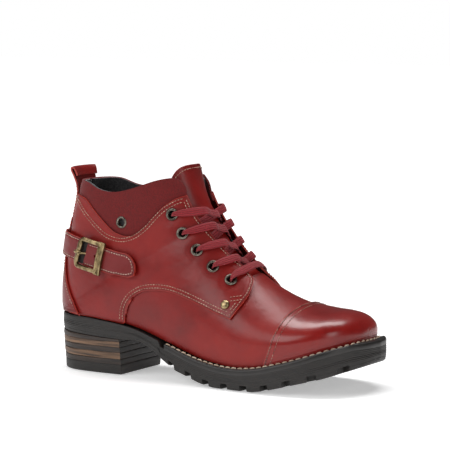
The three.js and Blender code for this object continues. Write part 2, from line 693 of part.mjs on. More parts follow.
function quarter(side) {
  const low = (s) => {
    if (s < 0.36) return backAt(mix(heelEnd, archStation, s / 0.36));
    return at2(archSeam, (s - 0.36) / 0.64);
  };
  const shape = patch(low, (s) => at2(collarSeam, s), backLine(45, 137), (r) => at2(facingEdge, r));
  const geometry = patchSkin(24, 8, topLayer, side, shape);
  const holes = eyelets.map(([x, z]) => hole(x, z, side, eyeletHole + 0.7 + layerGap));
  holes.push(hole(...rivetPlace, side, 1.6, 8));
  if (side === zipSide) holes.push(zipSlot());
  return cut(geometry, holes);
}

// The collar, or the stretch of it behind (-1) or before (1) the zip.
function collarPiece(side, stretchOfIt = 0) {
  const atZip = (curve) => bisect(0, 1, (s) => at2(curve, s)[0] < zipLine.x);
  const pick = (curve) => (s) => at2(curve, stretchOfIt < 0 ? s * atZip(curve)
    : mix(stretchOfIt > 0 ? atZip(curve) : 0, 1, s));
  const [low, high] = [pick(collarTuck), pick(collarRim)];
  const straight = (s) => (r) => [0, 1].map((k) => mix(low(s)[k], high(s)[k], r));
  const rear = stretchOfIt > 0 ? straight(0) : backLine(131, 149);
  const fore = stretchOfIt < 0 ? straight(1) : (r) => at2(collarFront, r);
  const rows = stretchOfIt === 0 ? 18 : 11;
  return patchSkin(rows, 4, tuckedLayer, side, patch(low, high, rear, fore));
}

// The forepart's shared grid: rows run from the toe tip (0) to the cap seam (1), and on to
// the throat. Columns are shares of t, from the sole line to the ridge.
const capEdge = (t) => 6.65 - 0.55 * t;
const throatStation = 8.3;
const capRows = [0, 0.08, 0.22, 0.4, 0.6, 0.8, 1];
const throatRows = [1.5, 2];
const shares = [0, 0.12, 0.24, 0.34, 0.45, 0.56, 0.68, 0.84, 1];
const foreColumns = [
  ...shares.map((t) => [lateral, t]),
  ...shares.slice(0, -1).reverse().map((t) => [medial, t]),
];
const foreStation = (row, t) => (row <= 1 ? row * capEdge(t) : mix(capEdge(t), throatStation, row - 1));
function forepart(rows, levels, rise = 0) {
  return skin(rows.length - 1, foreColumns.length - 1, levels, (i, j, level) => {
    const [side, share] = foreColumns[j];
    const u = foreStation(rows[i], share);
    const t = rise > 0 ? Math.max(share, riseAt(u, side, rise)) : share;
    return onLast(u, t, side, level);
  });
}

// The vamp runs back under the quarters as two wings, a little deeper, and lower as they go.
const wings = [[8.3, 0.68], [8.9, 0.56], [9.6, 0.56], [10.3, 0.56], [11, 0.45], [11.6, 0.45], [12, 0]];
const wingSink = 0.5;
function vamp() {
  const rows = [...capRows, ...throatRows, ...wings.slice(1).map(([u]) => u)];
  const throat = capRows.length + throatRows.length - 1;
  const geometry = skin(rows.length - 1, foreColumns.length - 1, baseLayer, (i, j, level) => {
    const [side, t] = foreColumns[j];
    const sink = wingSink * clamp((i - capRows.length + 1) / throatRows.length, 0, 1);
    return onLast(i <= throat ? foreStation(rows[i], t) : rows[i], t, side, level - sink);
  }, (i, j) => i < throat || Math.max(foreColumns[j][1], foreColumns[j + 1][1]) <= wings[i - throat][1]);
  return cut(geometry, [hole(...rivetPlace, lateral, 1.6, 8), hole(...rivetPlace, medial, 1.6, 8)]);
}
const toeCap = () => forepart(capRows, topLayer);
const innerRise = boardRise + insoleBoard + 1;
const toePuff = () => forepart(capRows.slice(2, -1), stiffLayer, innerRise);
const vampLining = () => forepart([...capRows.slice(2), ...throatRows], liningLayer, innerRise);

// A piece across the back seam, from its lateral edge to its medial one. Its outline in side
// view has a low and a high line from the back, and a front edge. Its foot stands out a little.
function acrossBack(rows, columns, levels, outline, footLift = 0) {
  return skin(rows, 2 * columns, levels, (i, j, level) => {
    const c = j / columns - 1;
    const [x, z] = outline(Math.abs(c) ** 2.4, i / rows);
    const side = c < 0 ? lateral : medial;
    const [u, t] = placeOf(x, z, side);
    const lift = footLift * Math.max(1 - i / rows, 0) ** 5;
    return onLast(u, c === 0 ? 0 : Math.max(t, 0.02 * Math.abs(c)), side, level + lift);
  });
}

function heelCounter() {
  const front = spline2([[-82, 47.5], [-85, 58], [-90, 72], [-102, 86]]);
  return acrossBack(4, 6, stiffLayer, patch((s) => [mix(-134.9, -82, s), mix(51, 47.5, s)],
    (s) => [mix(-132.9, -102, s), mix(86.5, 86, s)], backLine(51, 86.5), (r) => at2(front, r)));
}

function quarterLining(side) {
  const rows = [8.8, 9.8, 10.8, 11.8, 12.6, 13.2, 13.8, 14.3, 14.7, heelEnd, 15.8, 17, 18.4, 19.9];
  const geometry = skin(rows.length - 1, 7, liningLayer, (i, j, level) => {
    const u = rows[i];
    const low = u < heelEnd + 1 ? riseAt(u, side, mix(innerRise + 1.8, 0.1, clamp(u - heelEnd, 0, 1))) : 0;
    const t = mix(Math.max(low, 0.004), 0.52, (j / 7) ** 0.8);
    const p = onLast(u, t, side, level);
    p.y = side * Math.max(side * p.y, layerGap / 2);
    return p;
  });
  return cut(geometry, [side === zipSide ? zipSlot() : hole(...ventPlace, side, eyeletFlange + layerGap)]);
}

// The lining of the lacing edge, between the eyelets' back plates and the tongue.
function facingLining(side) {
  const rear = spline2([[13, 72.5], [4, 77.5], [-5, 87], [-16, 98], [-28, 110], [-35, 115]]);
  const fore = spline2([[37.5, 74], [36.4, 78.6], [27.4, 87.6], [17.4, 95.8],
    [7, 106.2], [-2.8, 117], [-9.6, 125.4], [-15, 131.5]]);
  const between = (r) => (s) => [0, 1].map((k) => mix(at2(rear, r)[k], at2(fore, r)[k], s));
  const shape = patch(between(0), between(1), (r) => at2(rear, r), (r) => at2(fore, r));
  const holes = eyelets.map(([x, z]) => hole(x, z, side, eyeletHole + 0.7 + layerGap));
  return cut(patchSkin(4, 11, tuckedLayer, side, shape), holes);
}

// ---- strap, back strip and pull tab ----
const strapMiddle = [98.5, 98.6, 98.3, 97.6, 95.8, 93, 90.1, 85.8, 82.5];   // heights by v, steps of 0.05
const strapSlope = 0.3;
const tipTurn = 0.0019;          // the last spreads here, so the cross line turns further
function strapPoint(v, w, level) {
  const side = v < 0 ? -1 : 1;
  const perMillimetre = Math.max(0.0055 - 0.011 * Math.abs(v), 0.0018);
  const toTip = clamp((-0.335 - v) / 0.035, 0, 1);
  const turn = Math.min(Math.abs(v) / 0.15, 1) * strapSlope * w * perMillimetre + tipTurn * toTip ** 2 * w;
  return roundHeel(v + side * turn, through(strapMiddle, Math.abs(v) / 0.05) + 0.957 * w, level);
}
const strapTip = -0.3695;
const strapEnd = 0.3;
const holePlaces = [-0.268, -0.288];
function heelStrap() {
  const rows = 24;
  const geometry = skin(rows, 2, strapLayer, (i, j, level) => {
    const v = mix(strapTip, strapEnd, (i / rows) ** 1.25);
    const near = clamp((v - strapTip) / 0.03, 0, 1);
    const width = strapWidth / 2 * Math.sqrt(Math.max(1 - (1 - near) ** 2, 0.01));
    return strapPoint(v, mix(-width, width, j / 2), level);
  });
  const slot = strapPoint(holePlaces[0], 0, 0);
  const outwards = strapPoint(holePlaces[0], 0, 1).sub(slot).normalize();
  return cut(geometry, [rod(2.2, 20, slot, outwards, 10)]);
}

const tabHalf = tabWidth / 2 / 186;   // its half-width as a share of t
const tabFoot = 118;
const stripLift = 1.0;           // of the strip's foot over the sole line
const stripFront = spline2([[-106.5, 43.9], [-110.8, 49.5], [-116, 56], [-120, 62.5], [-123.6, 70],
  [-127, 82], [-128.2, 94], [-126.6, 106], [-124.4, 117.6]]);
function backStrip() {
  const low = (s) => {
    const [x, z] = backAt(mix(heelEnd, 12.72, s));
    return [x, z + stripLift];
  };
  const top = backAt(bisect(heelEnd, lastStation, (u) => backAt(u)[1] < tabFoot - 0.4));
  const high = (s) => [mix(top[0], -124.4, s), tabFoot - 0.4];
  const rear = backLine(45 + stripLift, tabFoot - 0.4);
  return acrossBack(11, 7, thirdLayer, patch(low, high, rear, (r) => at2(stripFront, r)), 0.8);
}

// The pull tab: a band that rises from the back seam, folds over and comes down to the rim.
// Its route is heights, and how far it stands off the quarters there.
const tabRoute = [[tabFoot, 0], [124, 0], [130, 0], [138, 0.3], [144, 2.2], [149, 5.2], [153, 8],
  [155.4, 8.4], [156, 6.8], [154.6, 4.8], [152.4, 3.2], [150.4, 2]];
const tabThickness = 1.1;
const tabSeat = topLayer[1] + layerGap + tabThickness / 2;
// The direction of a path of points at its k-th, taken over some points either side.
function runAt(path, k, reach) {
  const after = path[Math.min(k + reach, path.length - 1)];
  return after.clone().sub(path[Math.max(k - reach, 0)]).normalize();
}
function pullTab() {
  const across = 4;
  const path = (v) => tabRoute.map(([z, rise]) => roundHeel(v, z, tabSeat + rise));
  const loops = [];
  for (let j = 0; j <= across; j += 1) {
    const v = mix(-tabHalf, tabHalf, j / across);
    const middle = path(v);
    const plane = roundHeel(v, 149, 1).sub(roundHeel(v, 149, 0)).setZ(0).normalize();
    const sideways = new THREE.Vector3().crossVectors(up, plane).normalize();
    const offset = (k, d) => {
      const run = runAt(middle, k, 1);
      return middle[k].clone().addScaledVector(run.cross(sideways).normalize(), d);
    };
    const outer = middle.map((_, k) => offset(k, -tabThickness / 2));
    const inner = middle.map((_, k) => offset(k, tabThickness / 2)).reverse();
    const start = outer[0].clone().add(inner[inner.length - 1]).multiplyScalar(0.5);
    const end = outer[outer.length - 1].clone().add(inner[0]).multiplyScalar(0.5);
    loops.push([start, ...outer, end, ...inner]);
  }
  return loft(loops);
}

// ---- buckle ----
const frameTop = 12.2;
const sideBarHeight = 2.3;
const leftBar = [-0.2405, -0.224];
const rightBar = [-0.311, -0.2955];
const middleBar = [-0.262, -0.254];
const barLow = strapLayer[1] + layerGap;
const barHigh = barLow + buckleBar;
function strapBlock(v0, v1, w0, w1, low, high, rows = 2, columns = 2) {
  return skin(rows, columns, [low, high], (i, j, level) =>
    strapPoint(mix(v0, v1, i / rows), mix(w0, w1, j / columns), level));
}
function buckleFrame() {
  const w = frameTop;
  const sideBar = (w0, w1) =>
    strapBlock(rightBar[0] + 0.004, leftBar[1] - 0.004, w0, w1, thirdLayer[0], barHigh - 0.2, 4, 1);
  return join([
    strapBlock(leftBar[0], leftBar[1], -w, w, barLow, barHigh, 1, 4),
    strapBlock(rightBar[0], rightBar[1], -w - 1.6, w + 1.6, barLow, barHigh, 1, 4),
    sideBar(w - sideBarHeight, w),
    sideBar(-w, -w + sideBarHeight),
    strapBlock(middleBar[0], middleBar[1], -w + 0.5, w - 0.5, thirdLayer[0], thirdLayer[1], 1, 3),
  ]);
}
function bucklePin() {
  const route = [
    [holePlaces[0] + 0.001, strapLayer[0] + 0.3],
    [holePlaces[0] + 0.001, strapLayer[1]],
    [holePlaces[0] + 0.008, barHigh + 0.2],
    [-0.25, barHigh + 1.4],
    [-0.236, barHigh + 1.5],
    [-0.228, barHigh + 1.2],
  ].map(([v, level]) => strapPoint(v, 0, level));
  const acrossWay = strapPoint(-0.25, 1, barHigh).sub(strapPoint(-0.25, 0, barHigh)).normalize();
  const sidesCount = 8;
  const loops = route.map((p, k) => {
    const run = runAt(route, k, 1);
    const other = run.clone().cross(acrossWay).normalize();
    const radius = k === route.length - 1 ? 0.7 : 1.05;
    return Array.from({ length: sidesCount }, (_, n) => {
      const angle = n / sidesCount * 2 * Math.PI;
      return p.clone().addScaledVector(acrossWay, radius * Math.cos(angle))
        .addScaledVector(other, radius * Math.sin(angle));
    });
  });
  return loft(loops);
}

// ---- eyelets and rivets ----
// A turned piece: profile points are radius and height, closed on itself or from axis to axis.
function turned(profile, x, z, side, level, segments = 12) {
  const [u, t] = placeOf(x, z, side);
  const geometry = new THREE.LatheGeometry(profile.map(([r, y]) => new THREE.Vector2(r, y)), segments);
  return outward(sewn(standing(geometry, onLast(u, t, side, level), lastNormal(u, t, side))));
}
function eyelet(x, z, side, high) {
  const outer = high + layerGap;
  const inner = backPlate[1];
  const tube = eyeletHole + 0.6;
  return turned([
    [eyeletHole, backPlate[0]], [eyeletHole, outer + eyeletLip - 0.2], [eyeletHole + 0.7, outer + eyeletLip],
    [eyeletFlange, outer], [tube, outer], [tube, inner], [eyeletFlange - 0.4, inner],
    [eyeletFlange - 0.6, backPlate[0]], [eyeletHole, backPlate[0]],
  ], x, z, side, 0, 8);
}
const rivetHead = 3.4;
function rivet(side) {
  const seat = topLayer[1] + layerGap;
  return turned([
    [0, backPlate[0]], [2.8, backPlate[0]], [2.8, backPlate[1]], [1.3, backPlate[1]], [1.3, seat],
    [rivetHead, seat], [rivetHead - 0.3, seat + 0.9], [rivetHead * 0.6, seat + 1.9], [0, seat + 2.3],
  ], ...rivetPlace, side, 0, 12);
}

// ---- tongue ----
const hingeStation = 18.5;
const tongueRise = (u) => 3.6 * clamp((u - 17.2) / 2.8, 0, 1) ** 1.5;
const tongueEdge = 0.38;
function tonguePiece(from, to, rows) {
  return skin(rows, 8, tongueLayer, (i, j, level) => {
    const w = j / 4 - 1;
    const top = 20.35 - 1.3 * Math.abs(w) ** 3;
    const u = mix(from, to > lastStation ? top : to, i / rows);
    const side = w < 0 ? lateral : medial;
    return onLast(u, 1 - Math.abs(w) * tongueEdge, side, level + tongueRise(u) * (1 - w * w));
  });
}

// ---- lace ----
const onTop = topLayer[1] + layerGap + laceThickness / 2;
const under = (underFacing[0] + underFacing[1]) / 2;
const tongueRest = tongueLayer[1] + layerGap + laceThickness / 2;
function lacePoint(u, v, level) {
  return onLast(u, 1 - Math.abs(v), v < 0 ? lateral : medial, level);
}
function buildLace() {
  const places = eyelets.map(([x, z]) => {
    const [u, t] = placeOf(x, z, lateral);
    return [u, 1 - t];
  });
  const route = [];          // [u, v, level, width]
  const node = (u, v, level, width = laceWidth) => route.push([u, v, level, width]);
  const narrow = 3.2;
  const risesThrough = (k, side, nextU, nextV) => {
    const [u, v] = [places[k][0], side * places[k][1]];
    const f = 0.1;
    node(u, v, under - 0.15, narrow);
    node(u, v, (under + onTop) / 2, narrow);
    node(mix(u, nextU, 0.2 * f), mix(v, nextV, 0.2 * f), onTop + eyeletLip + 0.5, narrow);
    node(mix(u, nextU, 1.1 * f), mix(v, nextV, 1.1 * f), onTop + eyeletLip + 0.2, laceWidth - 0.6);
  };
  const strand = (k, side) => {
    const [u0, v0] = [places[k][0], side * places[k][1]];
    const [u1, v1] = [places[k + 1][0], -side * places[k + 1][1]];
    risesThrough(k, side, u1, v1);
    const crossing = tongueRest + (side === lateral ? laceThickness + 0.5 : 0);
    const levels = [[0.2, onTop + 0.6], [0.27, onTop + 0.8], [0.34, onTop], [0.42, crossing + 1.4],
      [0.5, crossing + 0.2], [0.58, crossing], [0.66, tongueRest + 0.2], [0.73, under],
      [0.82, under - 0.1], [0.92, under - 0.3]];
    for (const [f, level] of levels) node(mix(u0, u1, f), mix(v0, v1, f), level);
  };
  const last = places.length - 1;
  const first = [places[0][0], lateral * places[0][1]];
  node(first[0] + 1.5, first[1] * 0.97, under - 0.1);
  node(first[0] + 0.7, first[1] * 0.99, under - 0.1);
  for (let k = 0; k < last; k += 1) strand(k, k % 2 === 0 ? lateral : medial);
  // across at the foot of the lacing, then back up the other way
  const [barU, barV] = places[last];
  const barSide = last % 2 === 0 ? lateral : medial;
  risesThrough(last, barSide, barU, -barSide * barV);
  for (const f of [0.2, 0.3, 0.42, 0.5, 0.58, 0.7, 0.8]) {
    node(barU - 0.12 * Math.sin(Math.PI * f), barSide * barV * (1 - 2 * f), onTop + 0.4);
  }
  const down = [];
  const turnedRoute = route.splice(0, route.length);
  for (let k = 0; k < last; k += 1) strand(k, k % 2 === 0 ? medial : lateral);
  const backward = route.splice(0, route.length);
  const lastSide = -barSide;
  risesThrough(last, lastSide, barU, barSide * barV);
  down.push(...route.splice(0, route.length).reverse(), ...backward.reverse());
  const end = [places[0][0], medial * places[0][1]];
  node(end[0] + 0.7, end[1] * 0.99, under - 0.1);
  node(end[0] + 1.5, end[1] * 0.97, under - 0.1);
  const whole = [...turnedRoute, ...down, ...route];
  const middle = whole.map(([u, v, level]) => lacePoint(u, v, level));
  const loops = whole.map(([u, v, , width], k) => {
    const run = runAt(middle, k, 1);
    const normal = lastNormal(u, 1 - Math.abs(v), v < 0 ? lateral : medial);
    const wide = runAt(middle, k, 4).cross(normal).normalize();
    wide.addScaledVector(run, -wide.dot(run)).normalize();
    const thick = wide.clone().cross(run).normalize();
    const corner = (a, b) => middle[k].clone().addScaledVector(wide, a * width / 2)
      .addScaledVector(thick, b * laceThickness / 2);
    return [corner(-1, -1), corner(1, -1), corner(1, 1), corner(-1, 1)];
  });
  return loft(loops);
}

// ---- zip on the inner side ----
const teethHalf = zipWidth / 2;
const teethLevel = [-0.9, 0.9];
function buildZip() {
  const length = zipLength();
  const top = length - 1;
  const tapeLevel = [teethLevel[0] - layerGap - 1.1, teethLevel[0] - layerGap];
  for (const [name, s] of [['front', 1], ['rear', -1]]) {
    const [a, b] = [s * layerGap / 2, s * teethHalf].sort((p, q) => p - q);
    add(`zip_teeth_${name}`, zipBox(a, b, 6, top, ...teethLevel), gunmetal);
    const [c, d] = [s * layerGap / 2, s * (zipGap - layerGap)].sort((p, q) => p - q);
    add(`zip_tape_${name}`, zipBox(c, d, -2, top + 1, ...tapeLevel), blackTape);
  }
  add('zip_bottom_stop', zipBox(-2.4, 2.4, 2.4, 5.6, teethLevel[0], teethLevel[1] + 0.3), gunmetal);
  const plate = [teethLevel[1] + layerGap, teethLevel[1] + layerGap + 1.1];
  const slider = join([
    zipBox(-3.3, 3.3, top - 10, top - 1, ...plate),
    zipBox(-1, 1, top - 8.6, top - 7.6, plate[0] + 0.4, plate[1] + 3),
    zipBox(-1, 1, top - 3.4, top - 2.4, plate[0] + 0.4, plate[1] + 3),
    zipBox(-1, 1, top - 8.6, top - 2.4, plate[1] + 2, plate[1] + 3),
  ]);
  add('zip_slider', slider, gunmetal);
  const pullLevel = [plate[1] + 0.5, plate[1] + 1.5];
  const pull = cut(zipBox(-2.6, 2.6, top - 31, top - 4.3, ...pullLevel), [
    zipBox(-1.5, 1.5, top - 9.4, top - 6, pullLevel[0] - 2, pullLevel[1] + 2),
    zipBox(-1.3, 1.3, top - 28.6, top - 22, pullLevel[0] - 2, pullLevel[1] + 2),
  ]);
  add('zip_pull', pull, gunmetal);
}

function buildUpper() {
  add('vamp', vamp(), redLeather);
  add('toe_cap', toeCap(), redLeather);
  for (const [name, side] of Object.entries(sides)) {
    add(`quarter_${name}`, quarter(side), redLeather);
    add(`facing_lining_${name}`, facingLining(side), blackFleece);
    add(`quarter_lining_${name}`, quarterLining(side), blackFleece);
    eyelets.forEach(([x, z], k) => {
      add(`eyelet_${name}_${k + 1}`, eyelet(x, z, side, topLayer[1]), gunmetal);
    });
    add(`rivet_${name}`, rivet(side), antiqueBrass);
  }
  const ventHole = hole(...ventPlace, lateral, eyeletHole + 0.7 + layerGap);
  add('collar_lateral', cut(collarPiece(lateral), [ventHole]), redSuede);
  add('collar_medial_rear', cut(collarPiece(medial, -1), [zipSlot()]), redSuede);
  add('collar_medial_front', cut(collarPiece(medial, 1), [zipSlot()]), redSuede);
  add('vent_eyelet', eyelet(...ventPlace, lateral, tuckedLayer[1]), gunmetal);
  add('toe_puff', toePuff(), board);
  add('heel_counter', heelCounter(), board);
  add('vamp_lining', vampLining(), blackFleece);
  add('back_strip', backStrip(), redLeather);
  add('pull_tab', pullTab(), redLeather);
  add('heel_strap', heelStrap(), redLeather);
  add('buckle_frame', buckleFrame(), antiqueBrass);
  add('buckle_pin', bucklePin(), antiqueBrass);
  add('buckle_chape', strapBlock(-0.3, -0.266, -7, 7, ...thirdLayer, 2, 2), redLeather);
  add('tongue', tonguePiece(8.5, hingeStation - 0.05, 11), redLeather);
  add('tongue_top', tonguePiece(hingeStation + 0.05, lastStation + 1, 4), redLeather);
  add('lace', buildLace(), laceRed);
  buildZip();
}
buildUpper();

export default boot;
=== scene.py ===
import math

import bpy
import numpy as np
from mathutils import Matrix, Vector
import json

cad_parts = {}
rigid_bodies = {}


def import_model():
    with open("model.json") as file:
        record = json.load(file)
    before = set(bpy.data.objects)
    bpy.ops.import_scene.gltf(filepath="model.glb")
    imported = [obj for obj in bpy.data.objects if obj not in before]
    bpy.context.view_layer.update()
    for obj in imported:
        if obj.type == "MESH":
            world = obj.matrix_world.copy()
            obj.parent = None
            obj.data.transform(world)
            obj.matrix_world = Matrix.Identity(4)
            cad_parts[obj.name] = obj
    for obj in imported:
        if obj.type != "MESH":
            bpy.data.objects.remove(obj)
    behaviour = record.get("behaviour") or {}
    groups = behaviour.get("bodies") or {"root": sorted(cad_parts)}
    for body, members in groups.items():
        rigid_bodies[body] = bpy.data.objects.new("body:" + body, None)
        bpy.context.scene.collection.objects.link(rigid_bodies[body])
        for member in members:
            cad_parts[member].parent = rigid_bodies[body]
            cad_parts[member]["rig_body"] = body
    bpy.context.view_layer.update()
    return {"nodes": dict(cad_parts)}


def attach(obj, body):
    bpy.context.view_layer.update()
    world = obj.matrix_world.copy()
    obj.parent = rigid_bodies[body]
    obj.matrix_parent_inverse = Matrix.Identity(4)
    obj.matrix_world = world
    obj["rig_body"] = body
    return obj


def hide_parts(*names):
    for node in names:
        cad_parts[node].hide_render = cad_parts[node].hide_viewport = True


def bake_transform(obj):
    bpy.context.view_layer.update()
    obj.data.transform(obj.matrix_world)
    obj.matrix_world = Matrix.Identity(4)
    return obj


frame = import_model()
mm = 0.001
lateral, medial = -1, 1

# the last: the smooth surface every leather panel lies on, in millimetres
# station rows: front x z, back x z, centre, foot out in, girth out in, mid, low, high
stations = np.array([
    [127, 42.5, 127, 38.5, 7.0, 0, 0, 0, 0, 0.40, 2.2, 2.1],
    [125.8, 47.8, 125.8, 38.2, 6.8, 12, 11, 12.2, 11.2, 0.40, 2.2, 2.1],
    [122, 53, 122, 37, 6.4, 22.8, 20, 23, 20.5, 0.38, 2.2, 2.1],
    [115.5, 56.6, 115.5, 35, 5.8, 31, 27, 31.6, 27.8, 0.36, 2.2, 2.1],
    [106.5, 58.4, 106.5, 32.2, 5.0, 37.6, 32.8, 38.4, 33.8, 0.34, 2.2, 2.1],
    [95, 59.5, 95, 28.2, 4.0, 42.2, 37.6, 43, 38.6, 0.33, 2.2, 2.0],
    [79, 62.2, 77, 22.9, 3.0, 45, 41, 46, 42.4, 0.32, 2.2, 1.9],
    [61, 68.6, 55, 17.8, 2.0, 45.6, 42, 46.8, 43.4, 0.32, 2.2, 1.82],
    [46.5, 76.4, 31, 16.6, 1.2, 43.5, 39.6, 45, 42, 0.33, 2.2, 1.85],
    [35.5, 85, 4, 20.3, 0.6, 39.2, 34.6, 41.6, 38.4, 0.34, 2.2, 1.95],
    [26.5, 93.5, -26, 28.8, 0.2, 34.2, 29.6, 38.4, 35, 0.36, 2.2, 2.05],
    [19, 101, -58, 38.2, 0, 31.4, 28.6, 36.4, 33.8, 0.40, 2.2, 2.2],
    [13.5, 107.5, -90, 42.6, 0, 31.4, 30.4, 35.6, 33.8, 0.46, 2.3, 2.3],
    [9.5, 113, -115, 43.8, 0, 27.5, 27, 35, 33.6, 0.50, 2.5, 2.4],
    [6.5, 118, -130, 44.4, 0, 16, 16, 34.2, 33, 0.53, 2.6, 2.4],
    [4, 122, -134.4, 45, 0, 0, 0, 33.6, 32.6, 0.54, 2.6, 2.4],
    [1, 127, -135.6, 62, 0, 0, 0, 32.8, 32, 0.54, 2.6, 2.4],
    [-3, 134, -133.2, 84, 0, 0, 0, 31.8, 31.2, 0.54, 2.6, 2.4],
    [-8, 143, -129, 108, 0, 0, 0, 31.2, 31, 0.54, 2.6, 2.4],
    [-12.5, 152, -124, 128, 0, 0, 0, 31.4, 31.4, 0.54, 2.6, 2.4],
    [-17, 161.5, -119, 149, 0, 0, 0, 32, 32, 0.54, 2.6, 2.4],
])
heelEnd = 15.0
topStation = 20.0
widestAt = 0.35


def through(values, u):
    # Catmull-Rom through equally spaced values, straight past both ends
    values, u = np.asarray(values, float), np.asarray(u, float)
    i = np.clip(np.floor(u), 0, len(values) - 2).astype(int)
    f = u - i
    b, c = values[i], values[i + 1]
    a = np.where(i > 0, values[np.maximum(i - 1, 0)], 2 * b - c)
    d = np.where(i < len(values) - 2, values[np.minimum(i + 2, len(values) - 1)], 2 * c - b)
    return b + f * (c - a + f * (2 * a - 5 * b + 4 * c - d + f * (3 * (b - c) + d - a))) / 2


def stationValue(k, u):
    return through(stations[:, k], u)


def mixed(a, b, f):
    return a + (b - a) * f


def share(value, low, high):
    # 0 at low, 1 at high and straight in between
    return np.clip((value - low) / (high - low), 0, 1)


def smooth(f):
    return f * f * (3 - 2 * f)


def sideOf(v):
    return np.where(np.asarray(v) < 0, -1.0, 1.0)


def unit(v):
    return v / np.maximum(np.linalg.norm(v, axis=-1, keepdims=True), 1e-9)


def lowEnd(u, side):
    girth = np.maximum(np.where(side < 0, stationValue(7, u), stationValue(8, u)), 1e-6)
    foot = np.maximum(np.where(side < 0, stationValue(5, u), stationValue(6, u)), 0)
    ratio = np.minimum(foot / girth, 0.999)
    low = stationValue(10, u)
    angle = np.where(ratio > 1e-6, np.arccos(np.clip(ratio, 1e-9, 1) ** (low / 2)), math.pi / 2)
    return girth, low, angle, 1 / (1 - ratio ** low) ** (1 / low)


def lastPoint(u, t, side):
    u, t, side = np.broadcast_arrays(*[np.asarray(v, float) for v in (u, t, side)])
    fx, fz, bx, bz = [stationValue(k, u) for k in range(4)]
    middle, high = stationValue(9, u), stationValue(11, u)
    girth, low, angle, pull = lowEnd(u, side)
    up = np.clip((t - widestAt) / (1 - widestAt), 0, 1) * math.pi / 2
    down = np.clip((widestAt - t) / widestAt, 0, 1) * angle
    isUp = t >= widestAt
    along = np.where(isUp, middle + (1 - middle) * np.sin(up) ** (2 / high),
                     middle - middle * pull * np.sin(down) ** (2 / low))
    across = np.where(isUp, np.maximum(np.cos(up), 0) ** (2 / high),
                      np.maximum(np.cos(down), 0) ** (2 / low))
    y = stationValue(4, u) + side * girth * across
    return np.stack([bx + (fx - bx) * along, y, bz + (fz - bz) * along], -1)


def lastNormal(u, t, side):
    u, t, side = np.broadcast_arrays(*[np.asarray(v, float) for v in (u, t, side)])
    step = 2e-3
    alongU = lastPoint(u + step, t, side) - lastPoint(np.maximum(u - step, 0), t, side)
    alongT = lastPoint(u, np.clip(t + step, 0, 1), side) - lastPoint(u, np.clip(t - step, 0, 1), side)
    normal = np.cross(alongU, alongT) * side[..., None]
    onMiddle = (t > 1 - 1e-9) | (u < 1e-9) | ((t < 1e-9) & (u >= heelEnd))
    normal[..., 1] = np.where(onMiddle, 0, normal[..., 1])
    return normal / np.maximum(np.linalg.norm(normal, axis=-1, keepdims=True), 1e-12)


def onLast(u, t, side, level):
    return lastPoint(u, t, side) + lastNormal(u, t, side) * np.asarray(level, float)[..., None]


def placeOf(x, z, side):
    # the slice and the share along it of a point drawn in side view
    x, z, side = np.broadcast_arrays(*[np.asarray(v, float) for v in (x, z, side)])
    low, high = np.zeros(x.shape), np.full(x.shape, topStation)
    for _ in range(34):
        v = (low + high) / 2
        fx, fz, bx, bz = [stationValue(k, v) for k in range(4)]
        below = (fx - bx) * (z - bz) - (fz - bz) * (x - bx) > 0
        low, high = np.where(below, v, low), np.where(below, high, v)
    u = (low + high) / 2
    fx, fz, bx, bz = [stationValue(k, u) for k in range(4)]
    span = np.maximum((fx - bx) ** 2 + (fz - bz) ** 2, 1e-9)
    along = np.clip(((x - bx) * (fx - bx) + (z - bz) * (fz - bz)) / span, 0, 1)
    middle = stationValue(9, u)
    _, lowPower, angle, pull = lowEnd(u, side)
    upShare = np.clip((along - middle) / (1 - middle), 0, 1) ** (stationValue(11, u) / 2)
    downShare = np.clip((middle - along) / (middle * pull), 0, 1) ** (lowPower / 2)
    upT = widestAt + (1 - widestAt) * np.arcsin(upShare) / (math.pi / 2)
    downT = widestAt * np.maximum(1 - np.arcsin(downShare) / angle, 0)
    return u, np.where(along >= middle, upT, downT)


def atHeight(z, t, side):
    # the station where the surface at t reaches a height, for pieces that go round the heel
    z, t, side = np.broadcast_arrays(*[np.asarray(v, float) for v in (z, t, side)])
    low, high = np.full(z.shape, 9.0), np.full(z.shape, topStation + 1)
    for _ in range(34):
        v = (low + high) / 2
        below = lastPoint(v, t, side)[..., 2] < z
        low, high = np.where(below, v, low), np.where(below, high, v)
    return (low + high) / 2


def roundHeel(v, z, level):
    side = sideOf(v)
    return onLast(atHeight(z, np.abs(v), side), np.abs(v), side, level)


# outlines in side view
def spline(points):
    p = np.array(points, float)

    def at(s):
        s = np.asarray(s, float) * (len(p) - 1)
        i = np.clip(np.floor(s), 0, len(p) - 2).astype(int)
        f = (s - i)[..., None]
        p1, p2 = p[i], p[i + 1]
        v0 = (p2 - p[np.maximum(i - 1, 0)]) / 2
        v1 = (p[np.minimum(i + 2, len(p) - 1)] - p1) / 2
        return (2 * p1 - 2 * p2 + v0 + v1) * f ** 3 + (-3 * p1 + 3 * p2 - 2 * v0 - v1) * f ** 2 + v0 * f + p1

    return at


